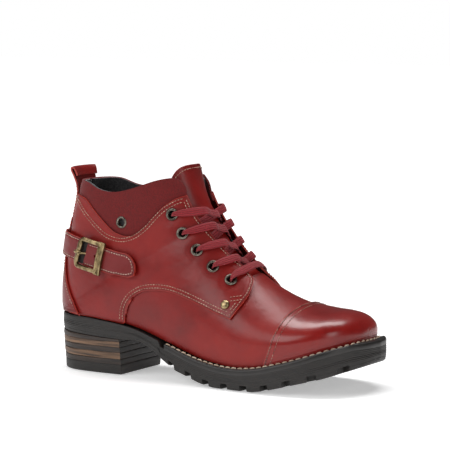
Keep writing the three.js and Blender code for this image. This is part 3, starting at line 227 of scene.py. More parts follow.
collarSeam = spline([[-131.6, 137], [-114, 135.2], [-99.8, 124.2], [-85.9, 113.4], [-77.2, 109.4],
                     [-67.2, 108.2], [-57.4, 110.9], [-48.8, 116.8], [-41.5, 124.6], [-34.5, 131.6],
                     [-25, 137.9], [-16.4, 141]])
collarTuck = spline([[-132.4, 131], [-114, 129.4], [-99.8, 118.4], [-84, 107.8], [-67.2, 102.6],
                     [-54, 105.2], [-44, 113.2], [-36, 123.4], [-26, 131.8], [-12.8, 134.6]])
collarRim = spline([[-119, 149], [-105, 148], [-91, 143], [-76, 141.4], [-60, 144.6], [-39, 151.6],
                    [-25.5, 154], [-20.6, 151.6]])
collarFront = spline([[-12.8, 134.6], [-16.2, 141.4], [-17.8, 147], [-20.6, 151.6]])
facingEdge = spline([[33, 52], [37.6, 60], [40.1, 66], [40.8, 71], [38.6, 78.5], [34.2, 83.1],
                     [28.7, 88.2], [18.5, 96.6], [8, 107], [-1.8, 117.8], [-8.4, 126], [-16.4, 141]])
archSeam = spline([[-65, 41.5], [-64, 47], [-62.3, 53], [-59, 58.6], [-54, 63.2], [-46.5, 66.9],
                   [-38, 68.5], [-26, 68.7], [-15, 66.8], [-2.9, 63.1], [9.3, 59], [20.6, 55.3], [33, 52]])
stripFront = spline([[-106.5, 43.9], [-110.8, 49.5], [-116, 56], [-120, 62.5], [-123.6, 70],
                     [-127, 82], [-128.2, 94], [-126.6, 106], [-124.4, 117.6]])
eyeletPlaces = [[-25.2, 126.4], [-16, 112.5], [-3.4, 100.4], [10.3, 88.7], [25.2, 79.4]]
ventPlace = [-68.8, 118.5]
rivetPlace = [26.7, 61.9]
zipLine = {"x": -71.0, "bottom": 59.5, "top": 141.5, "gap": 3.7}
archStation = 11.22
levels = {"base": -1.2, "top": 0.3, "third": 2.28, "strap": 4.38, "tucked": -1.62, "tongue": -6.64}


def backAt(u):
    return np.stack([stationValue(2, u), stationValue(3, u)], -1)


def backLine(lowZ, highZ):
    grid = np.linspace(heelEnd, topStation, 400)
    heights = backAt(grid)[:, 1]
    return lambda r: backAt(np.interp(lowZ + (highZ - lowZ) * np.asarray(r), heights, grid))


def patch(low, high, rear, fore):
    # a four-sided patch: low and high run back to front, rear and fore run upwards
    def at(s, r):
        s, r = s[..., None], r[..., None]
        flat = ((1 - s) * (1 - r) * low(0.0) + s * (1 - r) * low(1.0)
                + (1 - s) * r * high(0.0) + s * r * high(1.0))
        s1, r1 = s[..., 0], r[..., 0]
        return (1 - r) * low(s1) + r * high(s1) + (1 - s) * rear(r1) + s * fore(r1) - flat

    return at


noisePrimes = np.array([374761393, 668265263, 2147483647, 1274126177])


def noiseField(points, scale, seed):
    # smooth value noise at points, about -1 to 1, the same every run
    p = np.asarray(points, float) / scale + seed * 17.13
    base = np.floor(p).astype(np.int64)
    f = p - base
    f = smooth(f)
    total = np.zeros(p.shape[:-1])
    for corner in range(8):
        o = np.array([corner & 1, (corner >> 1) & 1, (corner >> 2) & 1])
        k = base + o
        h = k @ noisePrimes[:3] + seed * noisePrimes[3]
        h = (h ^ (h >> 13)) * noisePrimes[3]
        h = ((h ^ (h >> 16)) & 0xFFFFFF) / 0xFFFFFF * 2 - 1
        w = np.prod(np.where(o == 1, f, 1 - f), -1)
        total += w * h
    return total


# making pieces
def deselect():
    if bpy.context.object and bpy.context.object.mode != "OBJECT":
        bpy.ops.object.mode_set(mode="OBJECT")
    bpy.ops.object.select_all(action="DESELECT")


def activate(obj):
    deselect()
    obj.select_set(True)
    bpy.context.view_layer.objects.active = obj


def pieceFrom(name, points, faces, materials, attributes=None, uv=None, faceMaterial=None):
    # points in millimetres; attributes are one number for each point
    mesh = bpy.data.meshes.new(name)
    points = np.asarray(points, float) * mm
    faces = np.asarray(faces)
    mesh.vertices.add(len(points))
    mesh.vertices.foreach_set("co", points.astype(np.float32).ravel())
    sizes = np.full(len(faces), faces.shape[1])
    mesh.loops.add(int(sizes.sum()))
    mesh.loops.foreach_set("vertex_index", faces.ravel().astype(np.int32))
    mesh.polygons.add(len(faces))
    mesh.polygons.foreach_set("loop_start", np.concatenate([[0], np.cumsum(sizes)[:-1]]).astype(np.int32))
    if faceMaterial is not None:
        mesh.polygons.foreach_set("material_index", np.asarray(faceMaterial, np.int32))
    mesh.update(calc_edges=True)
    for key, values in (attributes or {}).items():
        mesh.attributes.new(key, "FLOAT", "POINT").data.foreach_set("value", np.asarray(values, np.float32))
    if uv is not None:
        layer = mesh.uv_layers.new(name="UVMap")
        layer.data.foreach_set("uv", np.asarray(uv, np.float32)[faces.ravel()].ravel())
    for material in materials:
        mesh.materials.append(material)
    mesh.validate()
    obj = bpy.data.objects.new(name, mesh)
    bpy.context.scene.collection.objects.link(obj)
    activate(obj)
    bpy.ops.object.shade_smooth()
    return obj


def modify(obj, kind, **settings):
    activate(obj)
    m = obj.modifiers.new(kind.lower(), kind)
    for key, value in settings.items():
        setattr(m, key, value)
    bpy.ops.object.modifier_apply(modifier=m.name)


def smoothByAngle(obj, degrees=40):
    activate(obj)
    bpy.ops.object.shade_smooth_by_angle(angle=math.radians(degrees))


def recalculate(obj):
    activate(obj)
    bpy.ops.object.mode_set(mode="EDIT")
    bpy.ops.mesh.select_all(action="SELECT")
    bpy.ops.mesh.remove_doubles(threshold=1e-6)
    bpy.ops.mesh.normals_make_consistent(inside=False)
    bpy.ops.object.mode_set(mode="OBJECT")


def settle(obj, nodes=(), body="boot"):
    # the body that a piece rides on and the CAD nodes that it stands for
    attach(obj, body)
    if nodes:
        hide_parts(*([nodes] if isinstance(nodes, str) else nodes))
    return obj


def roundRims(obj, width, degrees=50):
    modify(obj, "BEVEL", width=width * mm, segments=2, limit_method="ANGLE", angle_limit=math.radians(degrees))
    smoothByAngle(obj, degrees)


def thicken(obj, thickness, bevel):
    # a sheet gets its thickness inwards, with the second material on its rounded rim
    modify(obj, "SOLIDIFY", thickness=thickness * mm, offset=-1.0, material_offset_rim=1)
    roundRims(obj, bevel)


def gridFaces(rows, columns, keep=None, closedRows=False, closedColumns=False):
    # quads of a grid of rows by columns of points
    i, j = np.meshgrid(np.arange(rows if closedRows else rows - 1),
                       np.arange(columns if closedColumns else columns - 1), indexing="ij")
    a = i * columns + j
    b = i * columns + (j + 1) % columns
    c = ((i + 1) % rows) * columns + (j + 1) % columns
    d = ((i + 1) % rows) * columns + j
    quads = np.stack([a, b, c, d], -1)
    if keep is not None:
        quads = quads[keep]
    return quads.reshape(-1, 4)


def used(points, faces, *extras):
    # drops the points that no face uses
    index = np.unique(faces)
    place = np.full(len(points), -1)
    place[index] = np.arange(len(index))
    return (points[index], place[faces]) + tuple(e[index] if e is not None else None for e in extras)


def borderOf(faces):
    # the edges that only one face has, as pairs of points
    edges = np.concatenate([faces[:, [k, (k + 1) % faces.shape[1]]] for k in range(faces.shape[1])])
    ordered = np.sort(edges, 1)
    keys, first, counts = np.unique(ordered, axis=0, return_index=True, return_counts=True)
    return edges[first[counts == 1]]


def punched(points, faces, holes):
    # leaves out the faces inside each hole, given as its centre and radius
    for centre, radius in holes:
        faces = faces[np.linalg.norm(points[faces].mean(1) - centre, axis=1) > radius]
    return faces


def nearest(points, targets, most=14.0):
    # distance from each point to the nearest of the target points, up to a limit
    result = np.full(len(points), most)
    for k in range(0, len(points), 4000):
        d = points[k:k + 4000, None, :] - targets[None, :, :]
        result[k:k + 4000] = np.minimum(np.sqrt((d * d).sum(-1)).min(1), most)
    return result


def easeBothEnds(s):
    return 0.5 - 0.5 * np.cos(np.pi * s)


def dent(distance, at, width, depth):
    return -depth * np.exp(-((distance - at) / width) ** 2)


def outwardFaces(points, faces, normals):
    # turns the quads so that they face along the normals
    p = points[faces]
    n = np.cross(p[:, 2] - p[:, 0], p[:, 3] - p[:, 1])
    flip = (n * normals[faces[:, 0]]).sum(-1) < 0
    faces = faces.copy()
    faces[flip] = faces[flip][:, ::-1]
    return faces


def leatherSheet(name, u, t, side, level, materials, keep=None, thickness=1.2, seamEdge=2.4, bevel=0.28,
                 relief=0.12, holes=(), node=(), slotName="red_leather", seams=True):
    # a sheet of leather over the last: a grid of places with its outer level, given a thickness
    # inwards; the rim has the second material, and holes are (centre, radius) in millimetres
    rows, columns = u.shape
    flat = lastPoint(u, t, side).reshape(-1, 3)
    normals = lastNormal(u, t, side).reshape(-1, 3)
    faces = punched(flat, gridFaces(rows, columns, keep), holes)
    level = np.broadcast_to(np.asarray(level, float), u.shape).reshape(-1)
    flat, faces, normals, level = used(flat, faces, normals, level)
    border = np.unique(borderOf(faces))
    edge = nearest(flat, flat[border])
    hair = noiseField(flat, 9.0, 3) * 0.6 + noiseField(flat, 3.1, 5) * 0.4
    rise = level + relief * hair
    if seams:
        rise = rise + dent(edge, 0.0, 0.9, 0.22) + dent(edge, seamEdge, 0.75, 0.16)
        rise = rise + dent(edge, seamEdge + 2.4, 0.7, 0.1)
    for centre, radius in holes:
        d = np.linalg.norm(flat - centre, axis=1)
        rise = rise + dent(d, radius + 1.2, 3.2, 0.28)
    points = flat + normals * rise[:, None]
    faces = outwardFaces(points, faces, normals)
    obj = pieceFrom(name, points, faces, materials, {"edge": edge})
    thicken(obj, thickness, bevel)
    return settle(obj, node)


# materials
def newMaterial(name):
    material = bpy.data.materials.new(name)
    material.use_nodes = True
    tree = material.node_tree
    tree.nodes.clear()
    shader = tree.nodes.new("ShaderNodeBsdfPrincipled")
    output = tree.nodes.new("ShaderNodeOutputMaterial")
    tree.links.new(shader.outputs["BSDF"], output.inputs["Surface"])
    return material, tree, shader


def objectPlace(tree, scale=(1, 1, 1), rotation=(0, 0, 0)):
    coordinates = tree.nodes.new("ShaderNodeTexCoord")
    mapping = tree.nodes.new("ShaderNodeMapping")
    mapping.inputs["Scale"].default_value = scale
    mapping.inputs["Rotation"].default_value = rotation
    tree.links.new(coordinates.outputs["Object"], mapping.inputs["Vector"])
    return mapping.outputs["Vector"]


def noiseNode(tree, vector, scale, detail=4.0, roughness=0.55):
    n = tree.nodes.new("ShaderNodeTexNoise")
    n.inputs["Scale"].default_value = scale
    n.inputs["Detail"].default_value = detail
    n.inputs["Roughness"].default_value = roughness
    tree.links.new(vector, n.inputs["Vector"])
    return n.outputs["Fac"]


def rampNode(tree, value, stops):
    ramp = tree.nodes.new("ShaderNodeValToRGB")
    elements = ramp.color_ramp.elements
    elements[0].position, elements[0].color = stops[0][0], (*stops[0][1], 1)
    elements[1].position, elements[1].color = stops[-1][0], (*stops[-1][1], 1)
    for position, colour in stops[1:-1]:
        elements.new(position).color = (*colour, 1)
    tree.links.new(value, ramp.inputs["Fac"])
    return ramp.outputs["Color"]


def mathNode(tree, operation, a, b=None, clamp=False):
    m = tree.nodes.new("ShaderNodeMath")
    m.operation = operation
    m.use_clamp = clamp
    for k, v in enumerate([a, b]):
        if v is None:
            continue
        if isinstance(v, (int, float)):
            m.inputs[k].default_value = v
        else:
            tree.links.new(v, m.inputs[k])
    return m.outputs["Value"]


def mixNode(tree, factor, a, b, blend="MIX"):
    m = tree.nodes.new("ShaderNodeMix")
    m.data_type = "RGBA"
    m.blend_type = blend
    for key, v in (("Factor", factor), ("A", a), ("B", b)):
        socket = [s for s in m.inputs if s.name == key and s.type == ("VALUE" if key == "Factor" else "RGBA")][0]
        if isinstance(v, tuple):
            socket.default_value = (*v, 1) if len(v) == 3 else v
        elif isinstance(v, (int, float)):
            socket.default_value = v
        else:
            tree.links.new(v, socket)
    return [s for s in m.outputs if s.type == "RGBA"][0]


def bumpNode(tree, height, distance, strength=1.0, normal=None):
    b = tree.nodes.new("ShaderNodeBump")
    b.inputs["Distance"].default_value = distance
    b.inputs["Strength"].default_value = strength
    tree.links.new(height, b.inputs["Height"])
    if normal is not None:
        tree.links.new(normal, b.inputs["Normal"])
    return b.outputs["Normal"]


def makeGrainGroup():
    # leather grain: fine pebbles with soft pores, and a slow mottle for the colour
    group = bpy.data.node_groups.new("leatherGrain", "ShaderNodeTree")
    face = group.interface
    face.new_socket(name="Vector", in_out="INPUT", socket_type="NodeSocketVector")
    for key, value in (("Pebble Scale", 900.0), ("Mottle Scale", 22.0)):
        face.new_socket(name=key, in_out="INPUT", socket_type="NodeSocketFloat").default_value = value
    for key in ("Height", "Mottle", "Fine"):
        face.new_socket(name=key, in_out="OUTPUT", socket_type="NodeSocketFloat")
    enter, leave = group.nodes.new("NodeGroupInput"), group.nodes.new("NodeGroupOutput")
    cells = group.nodes.new("ShaderNodeTexVoronoi")
    cells.feature = "DISTANCE_TO_EDGE"
    group.links.new(enter.outputs["Vector"], cells.inputs["Vector"])
    group.links.new(enter.outputs["Pebble Scale"], cells.inputs["Scale"])
    fine = group.nodes.new("ShaderNodeTexNoise")
    fine.inputs["Detail"].default_value = 5
    group.links.new(enter.outputs["Vector"], fine.inputs["Vector"])
    group.links.new(mathNode(group, "MULTIPLY", enter.outputs["Pebble Scale"], 0.45), fine.inputs["Scale"])
    mottle = group.nodes.new("ShaderNodeTexNoise")
    mottle.inputs["Detail"].default_value = 6
    mottle.inputs["Roughness"].default_value = 0.6
    group.links.new(enter.outputs["Vector"], mottle.inputs["Vector"])
    group.links.new(enter.outputs["Mottle Scale"], mottle.inputs["Scale"])
    edge = mathNode(group, "MULTIPLY", cells.outputs["Distance"], 3.0, clamp=True)
    height = mathNode(group, "ADD", mathNode(group, "MULTIPLY", edge, 0.4), fine.outputs["Fac"])
    group.links.new(height, leave.inputs["Height"])
    group.links.new(mottle.outputs["Fac"], leave.inputs["Mottle"])
    group.links.new(fine.outputs["Fac"], leave.inputs["Fine"])
    return group


grainGroup = makeGrainGroup()
leatherLook = {"deep": (0.115, 0.0028, 0.002), "main": (0.19, 0.0045, 0.0032), "warm": (0.25, 0.0095, 0.0055),
               "roughness": (0.36, 0.5), "coat": 0.12, "coatRoughness": 0.24, "rim": (0.42, 0.03, 0.016)}


def leatherMaterial(name, look, seamShade=0.66):
    material, tree, shader = newMaterial(name)
    vector = objectPlace(tree)
    grain = tree.nodes.new("ShaderNodeGroup")
    grain.node_tree = grainGroup
    grain.inputs["Pebble Scale"].default_value = 950
    grain.inputs["Mottle Scale"].default_value = 26
    tree.links.new(vector, grain.inputs["Vector"])
    broad = noiseNode(tree, vector, 9, 3)
    tone = mathNode(tree, "ADD", mathNode(tree, "MULTIPLY", grain.outputs["Mottle"], 0.6),
                    mathNode(tree, "MULTIPLY", broad, 0.4))
    colour = rampNode(tree, tone, [(0.34, look["deep"]), (0.5, look["main"]), (0.68, look["warm"])])
    edge = tree.nodes.new("ShaderNodeAttribute")
    edge.attribute_name = "edge"
    # within 2.6 mm of a panel's border the colour is darkened, most at the edge: painted shade along seams and edges
    near = mathNode(tree, "MULTIPLY", edge.outputs["Fac"], 1 / 2.6, clamp=True)
    onRim = mathNode(tree, "SUBTRACT", 1.0, mathNode(tree, "MULTIPLY", edge.outputs["Fac"], 1.6,
                                                             clamp=True))
    shade = mathNode(tree, "ADD", mathNode(tree, "MULTIPLY", near, 1 - seamShade), seamShade, clamp=True)
    dark = mixNode(tree, 1.0, colour, shade, "MULTIPLY")
    tree.links.new(mixNode(tree, mathNode(tree, "MULTIPLY", onRim, 0.8), dark, look["rim"]),
              shader.inputs["Base Color"])
    rough = tree.nodes.new("ShaderNodeMapRange")
    rough.inputs["From Min"].default_value = 0.3
    rough.inputs["From Max"].default_value = 0.7
    rough.inputs["To Min"].default_value = look["roughness"][0]
    rough.inputs["To Max"].default_value = look["roughness"][1]
    tree.links.new(grain.outputs["Mottle"], rough.inputs["Value"])
    tree.links.new(rough.outputs["Result"], shader.inputs["Roughness"])
    shader.inputs["Coat Weight"].default_value = look["coat"]
    shader.inputs["Coat Roughness"].default_value = look["coatRoughness"]
    shader.inputs["Specular IOR Level"].default_value = 0.3
    soft = bumpNode(tree, noiseNode(tree, vector, 120, 5, 0.6), 0.00016, 0.6)
    tree.links.new(bumpNode(tree, grain.outputs["Height"], 0.00006, 0.55, soft), shader.inputs["Normal"])
    return material


def plainMaterial(name, colourLow, colourHigh, roughness, scale, bump, metallic=0.0, stretch=(1, 1, 1), sheen=0.0,
                  detail=5.0):
    # a two-tone surface with noise in its colour, roughness and relief
    material, tree, shader = newMaterial(name)
    vector = objectPlace(tree, stretch)
    fac = noiseNode(tree, vector, scale, detail, 0.62)
    tree.links.new(rampNode(tree, fac, [(0.36, colourLow), (0.64, colourHigh)]), shader.inputs["Base Color"])
    shader.inputs["Metallic"].default_value = metallic
    tree.links.new(mathNode(tree, "ADD", mathNode(tree, "MULTIPLY", fac, roughness[1] - roughness[0]),
                       roughness[0]), shader.inputs["Roughness"])
    if sheen:
        shader.inputs["Sheen Weight"].default_value = sheen
        shader.inputs["Sheen Roughness"].default_value = 0.4
    tree.links.new(bumpNode(tree, fac, bump, 0.8), shader.inputs["Normal"])
    return material


redLeather = leatherMaterial("redLeather", leatherLook)
toeLeather = leatherMaterial("toeLeather", {**leatherLook, "roughness": (0.28, 0.4), "coat": 0.3,
                                            "coatRoughness": 0.16})
stripLeather = leatherMaterial("stripLeather", {**leatherLook, "main": (0.15, 0.0085, 0.009),
                                                "warm": (0.2, 0.014, 0.014)})
cutEdge = plainMaterial("waxedCutEdge", (0.24, 0.013, 0.007), (0.4, 0.028, 0.015), (0.4, 0.55), 500, 0.00004)
suede = plainMaterial("redSuede", (0.085, 0.0018, 0.002), (0.14, 0.0036, 0.004), (0.88, 0.98), 900, 0.00022,
                      sheen=0.08)
fleece = plainMaterial("blackFleece", (0.008, 0.008, 0.009), (0.035, 0.033, 0.034), (0.9, 1.0), 700, 0.0006,
                       sheen=0.3)
liningEdge = plainMaterial("liningEdge", (0.05, 0.05, 0.055), (0.13, 0.13, 0.13), (0.8, 0.95), 600, 0.0003)
rubber = plainMaterial("ribbedRubber", (0.0045, 0.0036, 0.003), (0.014, 0.0105, 0.0085), (0.5, 0.68), 160, 0.00018,
                       stretch=(1, 1, 6))
weltRubber = plainMaterial("weltRubber", (0.005, 0.004, 0.0034), (0.012, 0.009, 0.0075), (0.36, 0.48), 120, 0.00006)
stackTan = plainMaterial("stackTan", (0.03, 0.014, 0.0075), (0.2, 0.11, 0.058), (0.5, 0.68), 34, 0.00025,
                         stretch=(0.8, 0.8, 16), detail=10.0)
stackDark = plainMaterial("stackDark", (0.008, 0.005, 0.004), (0.042, 0.024, 0.016), (0.5, 0.66), 30, 0.00018,
                          stretch=(1, 1, 14), detail=8.0)
antiqueBrass = plainMaterial("antiqueBrass", (0.1, 0.07, 0.033), (0.42, 0.32, 0.17), (0.27, 0.45), 150, 0.00005,
                             metallic=1.0, stretch=(1.5, 1.5, 1))
gunmetal = plainMaterial("gunmetal", (0.05, 0.043, 0.034), (0.22, 0.2, 0.165), (0.28, 0.45), 240, 0.00003,
                         metallic=1.0)
boardMaterial = plainMaterial("fibreBoard", (0.2, 0.13, 0.07), (0.32, 0.22, 0.13), (0.8, 0.95), 300, 0.0001)
foamMaterial = plainMaterial("footbedCover", (0.012, 0.011, 0.011), (0.03, 0.028, 0.028), (0.85, 0.95), 500, 0.0003)
# near-black surface for the thin sheet between the buckle's bars: painted shadow
shadowSheetMaterial = plainMaterial("shadowedLeather", (0.006, 0.004, 0.004), (0.016, 0.009, 0.008), (0.7, 0.85), 400,
                             0.0001)
darkBreastFace = plainMaterial("darkBreastFace", (0.008, 0.006, 0.005), (0.022, 0.015, 0.012), (0.5, 0.65), 60, 0.0001,
                            stretch=(1, 1, 8))
tapeCloth = plainMaterial("zipTape", (0.01, 0.01, 0.011), (0.03, 0.03, 0.032), (0.75, 0.9), 1200, 0.0002,
                          stretch=(1, 1, 3))
print("materials ready")


# the upper's panels
panelSizes = {"eyeletHole": 3.3, "liningHole": 3.4, "ventHole": 3.3, "capRow": 6.65, "capSlope": 0.55,
              "wingSink": 0.5}
# how far round the vamp reaches, from its throat to the ends of its wings
wingReach = [[8.9, 8.95, 9.2, 10.3, 11, 12], [1.01, 0.62, 0.58, 0.5, 0.45, 0.42]]


def drawnGrid(outline, rows, columns):
    # a grid of side-view points inside an outline, finer towards its ends
    return outline(*np.meshgrid(easeBothEnds(np.linspace(0, 1, rows)), np.linspace(0, 1, columns), indexing="ij"))


def sidePoint(x, z, side, level=0.0):
    u, t = placeOf(x, z, side)
    return onLast(u, t, np.full(u.shape, float(side)), np.full(u.shape, float(level)))


def capEdge(t):
    return panelSizes["capRow"] - panelSizes["capSlope"] * t


def vampAndCap():
    v = -1 + easeSide(np.linspace(0, 1, 81))
    v = np.concatenate([v, -v[::-1][1:]])
    t, side = 1 - np.abs(v), sideOf(v)
    rows = np.linspace(0, 1, 92) ** 1.35
    u = rows[:, None] * capEdge(t)[None, :]
    leatherSheet("toe_cap_leather", u, np.broadcast_to(t, u.shape), np.broadcast_to(side, u.shape), levels["top"],
                 [toeLeather, cutEdge], node="toe_cap", relief=0.05, seamEdge=1.6)
    u = np.linspace(5.4, 12.0, 150)[:, None] + 0 * t[None, :]
    tt, ss = np.broadcast_to(t, u.shape), np.broadcast_to(side, u.shape)
    cellU = (u[:-1, :-1] + u[1:, 1:]) / 2
    cellT = np.maximum(tt[:-1, :-1], tt[:-1, 1:])
    top = np.interp(cellU, *wingReach)
    sink = -panelSizes["wingSink"] * share(u, 7.4, 8.3) - 0.6 * share(u, 8.4, 8.9) * (tt > 0.6)
    leatherSheet("vamp_leather", u, tt, ss, levels["base"] + sink, [redLeather, cutEdge], keep=cellT <= top,
                 node="vamp", relief=0.16, seams=False)


def easeSide(s):
    return 0.35 * s + 0.65 * s * s


def quarterLeather(side, name):
    def low(s):
        s = np.asarray(s, float)
        back = backAt(mixed(heelEnd, archStation, np.clip(s / 0.36, 0, 1)))
        arch = archSeam(np.clip((s - 0.36) / 0.64, 0, 1))
        return np.where((s < 0.36)[..., None], back, arch)

    outline = patch(low, collarSeam, backLine(45, 137), facingEdge)
    x, z = np.moveaxis(drawnGrid(outline, 210, 92), -1, 0)
    sides, keep = np.full(x.shape, float(side)), None
    if side == medial:
        off = x - zipLine["x"]
        near = np.abs(np.abs(off) - zipLine["gap"]) < 0.5
        inSlot = near & (z > zipLine["bottom"] - 6)
        x = np.where(inSlot, zipLine["x"] + np.sign(off) * zipLine["gap"], x)
        middle = (x[:-1, :-1] + x[1:, 1:]) / 2 - zipLine["x"]
        middleZ = (z[:-1, :-1] + z[1:, 1:]) / 2
        keep = ~((np.abs(middle) < zipLine["gap"] - 0.05) & (middleZ > zipLine["bottom"] - 3))
    u, t = placeOf(x, z, sides)
    holes = [(sidePoint(px, pz, float(side)), panelSizes["eyeletHole"]) for px, pz in eyeletPlaces]
    leatherSheet("quarter_" + name + "_leather", u, np.maximum(t, 0.004), sides, levels["top"],
                 [redLeather, cutEdge], keep=keep, holes=holes, node="quarter_" + name, relief=0.16)


def collarSuede(side, name, cadNodes):
    x, z = np.moveaxis(drawnGrid(patch(collarTuck, collarRim, backLine(131, 149), collarFront), 150, 46), -1, 0)
    sides, keep, holes = np.full(x.shape, float(side)), None, []
    if side == medial:
        off = x - zipLine["x"]
        x = np.where(np.abs(np.abs(off) - zipLine["gap"]) < 0.6, zipLine["x"] + np.sign(off) * zipLine["gap"], x)
        keep = np.abs((x[:-1, :-1] + x[1:, 1:]) / 2 - zipLine["x"]) > zipLine["gap"] - 0.05
    else:
        holes = [(sidePoint(*ventPlace, float(side)), panelSizes["ventHole"])]
    u, t = placeOf(x, z, sides)
    # the suede swells a little between the seam and the rim
    rise = np.linspace(0, 1, x.shape[1])[None, :] + 0 * x
    swell = 0.9 * np.sin(share(rise, 0.16, 1) * math.pi) ** 0.7
    leatherSheet("collar_" + name + "_suede", u, np.maximum(t, 0.004), sides, levels["tucked"] + swell,
                 [suede, suede], keep=keep, holes=holes, node=cadNodes, relief=0.2, thickness=1.5, bevel=0.5,
                 slotName="red_suede", seams=False)


def acrossBack(outline, rows, columns):
    c = np.linspace(-1, 1, 2 * columns + 1)[None, :] + np.zeros((rows + 1, 1))
    r = np.linspace(0, 1, rows + 1)[:, None] + 0 * c
    drawn = outline(np.abs(c) ** 2.4, r)
    side = sideOf(c)
    u, t = placeOf(drawn[..., 0], drawn[..., 1], side)
    return u, np.where(np.abs(c) < 1e-9, 0, np.maximum(t, 0.02 * np.abs(c))), side, r


def backStripLeather():
    footZ, topZ = 46.0, 117.6

    def low(s):
        p = backAt(mixed(heelEnd, 12.72, np.asarray(s, float)))
        return p + np.array([0, 1.0])

    topBack = backLine(footZ, topZ)(np.array(1.0))

    def high(s):
        s = np.asarray(s, float)
        return np.stack([mixed(topBack[0], -124.4, s), np.full(s.shape, topZ)], -1)

    u, t, side, r = acrossBack(patch(low, high, backLine(footZ, topZ), stripFront), 90, 48)
    leatherSheet("back_strip_leather", u, t, side, levels["third"] - 0.3 + 0.8 * (1 - r) ** 5,
                 [stripLeather, cutEdge], node="back_strip", thickness=1.0, relief=0.1)


vampAndCap()
quarterLeather(lateral, "lateral")
quarterLeather(medial, "medial")
collarSuede(lateral, "lateral", "collar_lateral")
collarSuede(medial, "medial", ["collar_medial_rear", "collar_medial_front"])
backStripLeather()
print("leather panels ready")


# stitches
stitchLook = {
    "fine": {"pitch": 2.4, "length": 1.95, "radius": 0.3},
    "welt": {"pitch": 5.4, "length": 4.9, "radius": 0.62},
}


def alongOutline(curve, side, offset, level, start=0.0, stop=1.0, count=700):
    # points and normals along an outline, moved off it by so many millimetres on the surface
    p = curve(np.linspace(start, stop, count))
    run = np.gradient(p, axis=0)
    run /= np.maximum(np.linalg.norm(run, axis=1, keepdims=True), 1e-9)
    aside = np.stack([-run[:, 1], run[:, 0]], -1)
    probe = 0.6
    ratio = np.linalg.norm(sidePoint(*(p + aside * probe).T, side) - sidePoint(*(p - aside * probe).T, side),
                           axis=1) / (2 * probe)
    ratio = np.convolve(np.pad(ratio, 8, mode="edge"), np.ones(17) / 17, mode="valid")
    q = p + aside * (offset / np.maximum(ratio, 0.6))[:, None]
    u, t = placeOf(q[:, 0], q[:, 1], side)
    normals = lastNormal(u, t, np.full(u.shape, float(side)))
    return lastPoint(u, t, side) + normals * level, normals


def rowPlaces(points, pitch):
    steps = np.linalg.norm(np.diff(points, axis=0), axis=1)
    reach = np.concatenate([[0], np.cumsum(steps)])
    return reach, np.arange(pitch / 2, reach[-1] - pitch / 3, pitch)


def alongRow(reached, reach, values):
    return np.array([np.interp(reached, reach, values[:, j]) for j in range(3)])


def stitches(name, rows, material, look="fine", slant=0.0):
    # every stitch is a short bent thread whose two ends go down into the leather
    size = stitchLook[look]
    rings, around = 7, 6
    k = np.linspace(-1, 1, rings)
    height = size["radius"] * (0.75 - 1.9 * k ** 4)
    thick = size["radius"] * (1 - 0.9 * np.abs(k) ** 9)
    turn = np.linspace(0, 2 * math.pi, around, endpoint=False)
    allPoints, allFaces, tones = [], [], []
    base = gridFaces(rings, around, closedColumns=True)
    total = 0
    for points, normals in rows:
        reach, centres = rowPlaces(points, size["pitch"])
        for n, c in enumerate(centres):
            here, normal = alongRow(c, reach, points), alongRow(c, reach, normals)
            ahead = alongRow(c + size["pitch"] / 2, reach, points)
            run = unit(ahead - alongRow(c - size["pitch"] / 2, reach, points))
            normal = unit(normal - run * normal.dot(run))
            across = np.cross(normal, run)
            run = run * math.cos(slant) + across * math.sin(slant)
            across = np.cross(normal, run)
            ring = (here + run * (k * size["length"] / 2)[:, None] + normal * height[:, None])
            p = ring[:, None, :] + thick[:, None, None] * (np.cos(turn)[:, None] * across
                                                            + np.sin(turn)[:, None] * normal)
            allPoints.append(p.reshape(-1, 3))
            allFaces.append(base + total)
            tones.append(np.full(rings * around, (n * 0.618 + total * 0.37) % 1))
            total += rings * around
    obj = pieceFrom(name, np.concatenate(allPoints), np.concatenate(allFaces)[:, ::-1], [material],
                    {"tone": np.concatenate(tones)})
    return settle(obj)


def split(row, keep):
    # a row of points cut into the stretches that are kept
    points, normals = row
    index = np.flatnonzero(keep(points))
    groups = np.split(index, np.flatnonzero(np.diff(index) > 1) + 1)
    return [(points[g], normals[g]) for g in groups if len(g) > 3]


def offZip(points):
    return np.abs(points[:, 0] - zipLine["x"]) > zipLine["gap"] + 1.4


def pointsOf(u, t, side, level):
    u, t, side = np.broadcast_arrays(np.asarray(u, float), t, side)
    normals = lastNormal(u, t, side)
    return lastPoint(u, t, side) + normals * level, normals


def upperStitches():
    seat = levels["top"] - 0.06
    for side, name in ((lateral, "lateral"), (medial, "medial")):
        collar = [alongOutline(collarSeam, side, offset, seat, 0.012, 0.965) for offset in (-1.9, -4.4)]
        corner = alongOutline(facingEdge, side, 4.6, seat, 0.93, 0.985)
        if side == medial:
            collar = [piece for row in collar for piece in split(row, offZip)]
        arch = [alongOutline(archSeam, side, offset, seat, 0.03, stop)
                for offset, stop in ((1.9, 0.985), (4.4, 0.965))]
        facing = [alongOutline(facingEdge, side, 2.2, seat, 0.02, 0.985),
                  alongOutline(facingEdge, side, 4.6, seat, 0.05, 0.13)]
        box = [alongOutline(spline([[28.5, 67.2], [37, 68.6]]), side, 0, seat),
               alongOutline(spline([[29.5, 64.6], [38.5, 66]]), side, 0, seat)]
        stitches("quarter_stitches_" + name, collar + arch + facing + box + [corner], seamThread)
        strip = alongOutline(stripFront, side, 2.3, levels["third"] - 0.36, 0.05, 0.97)
        stitches("back_strip_stitches_" + name, [strip], seamThread)
    v = np.linspace(-1, 1, 900)
    t, side = 1 - np.abs(v), sideOf(v)
    seam = capEdge(t)
    probe = 0.1
    across = lastPoint(seam + probe, t, side) - lastPoint(seam - probe, t, side)
    perMillimetre = 2 * probe / np.linalg.norm(across, axis=1)
    rows = [pointsOf(seam - d * perMillimetre, t, side, levels["top"] - 0.02) for d in (1.6, 6.0)]
    stitches("toe_cap_stitches", rows, toeThread)


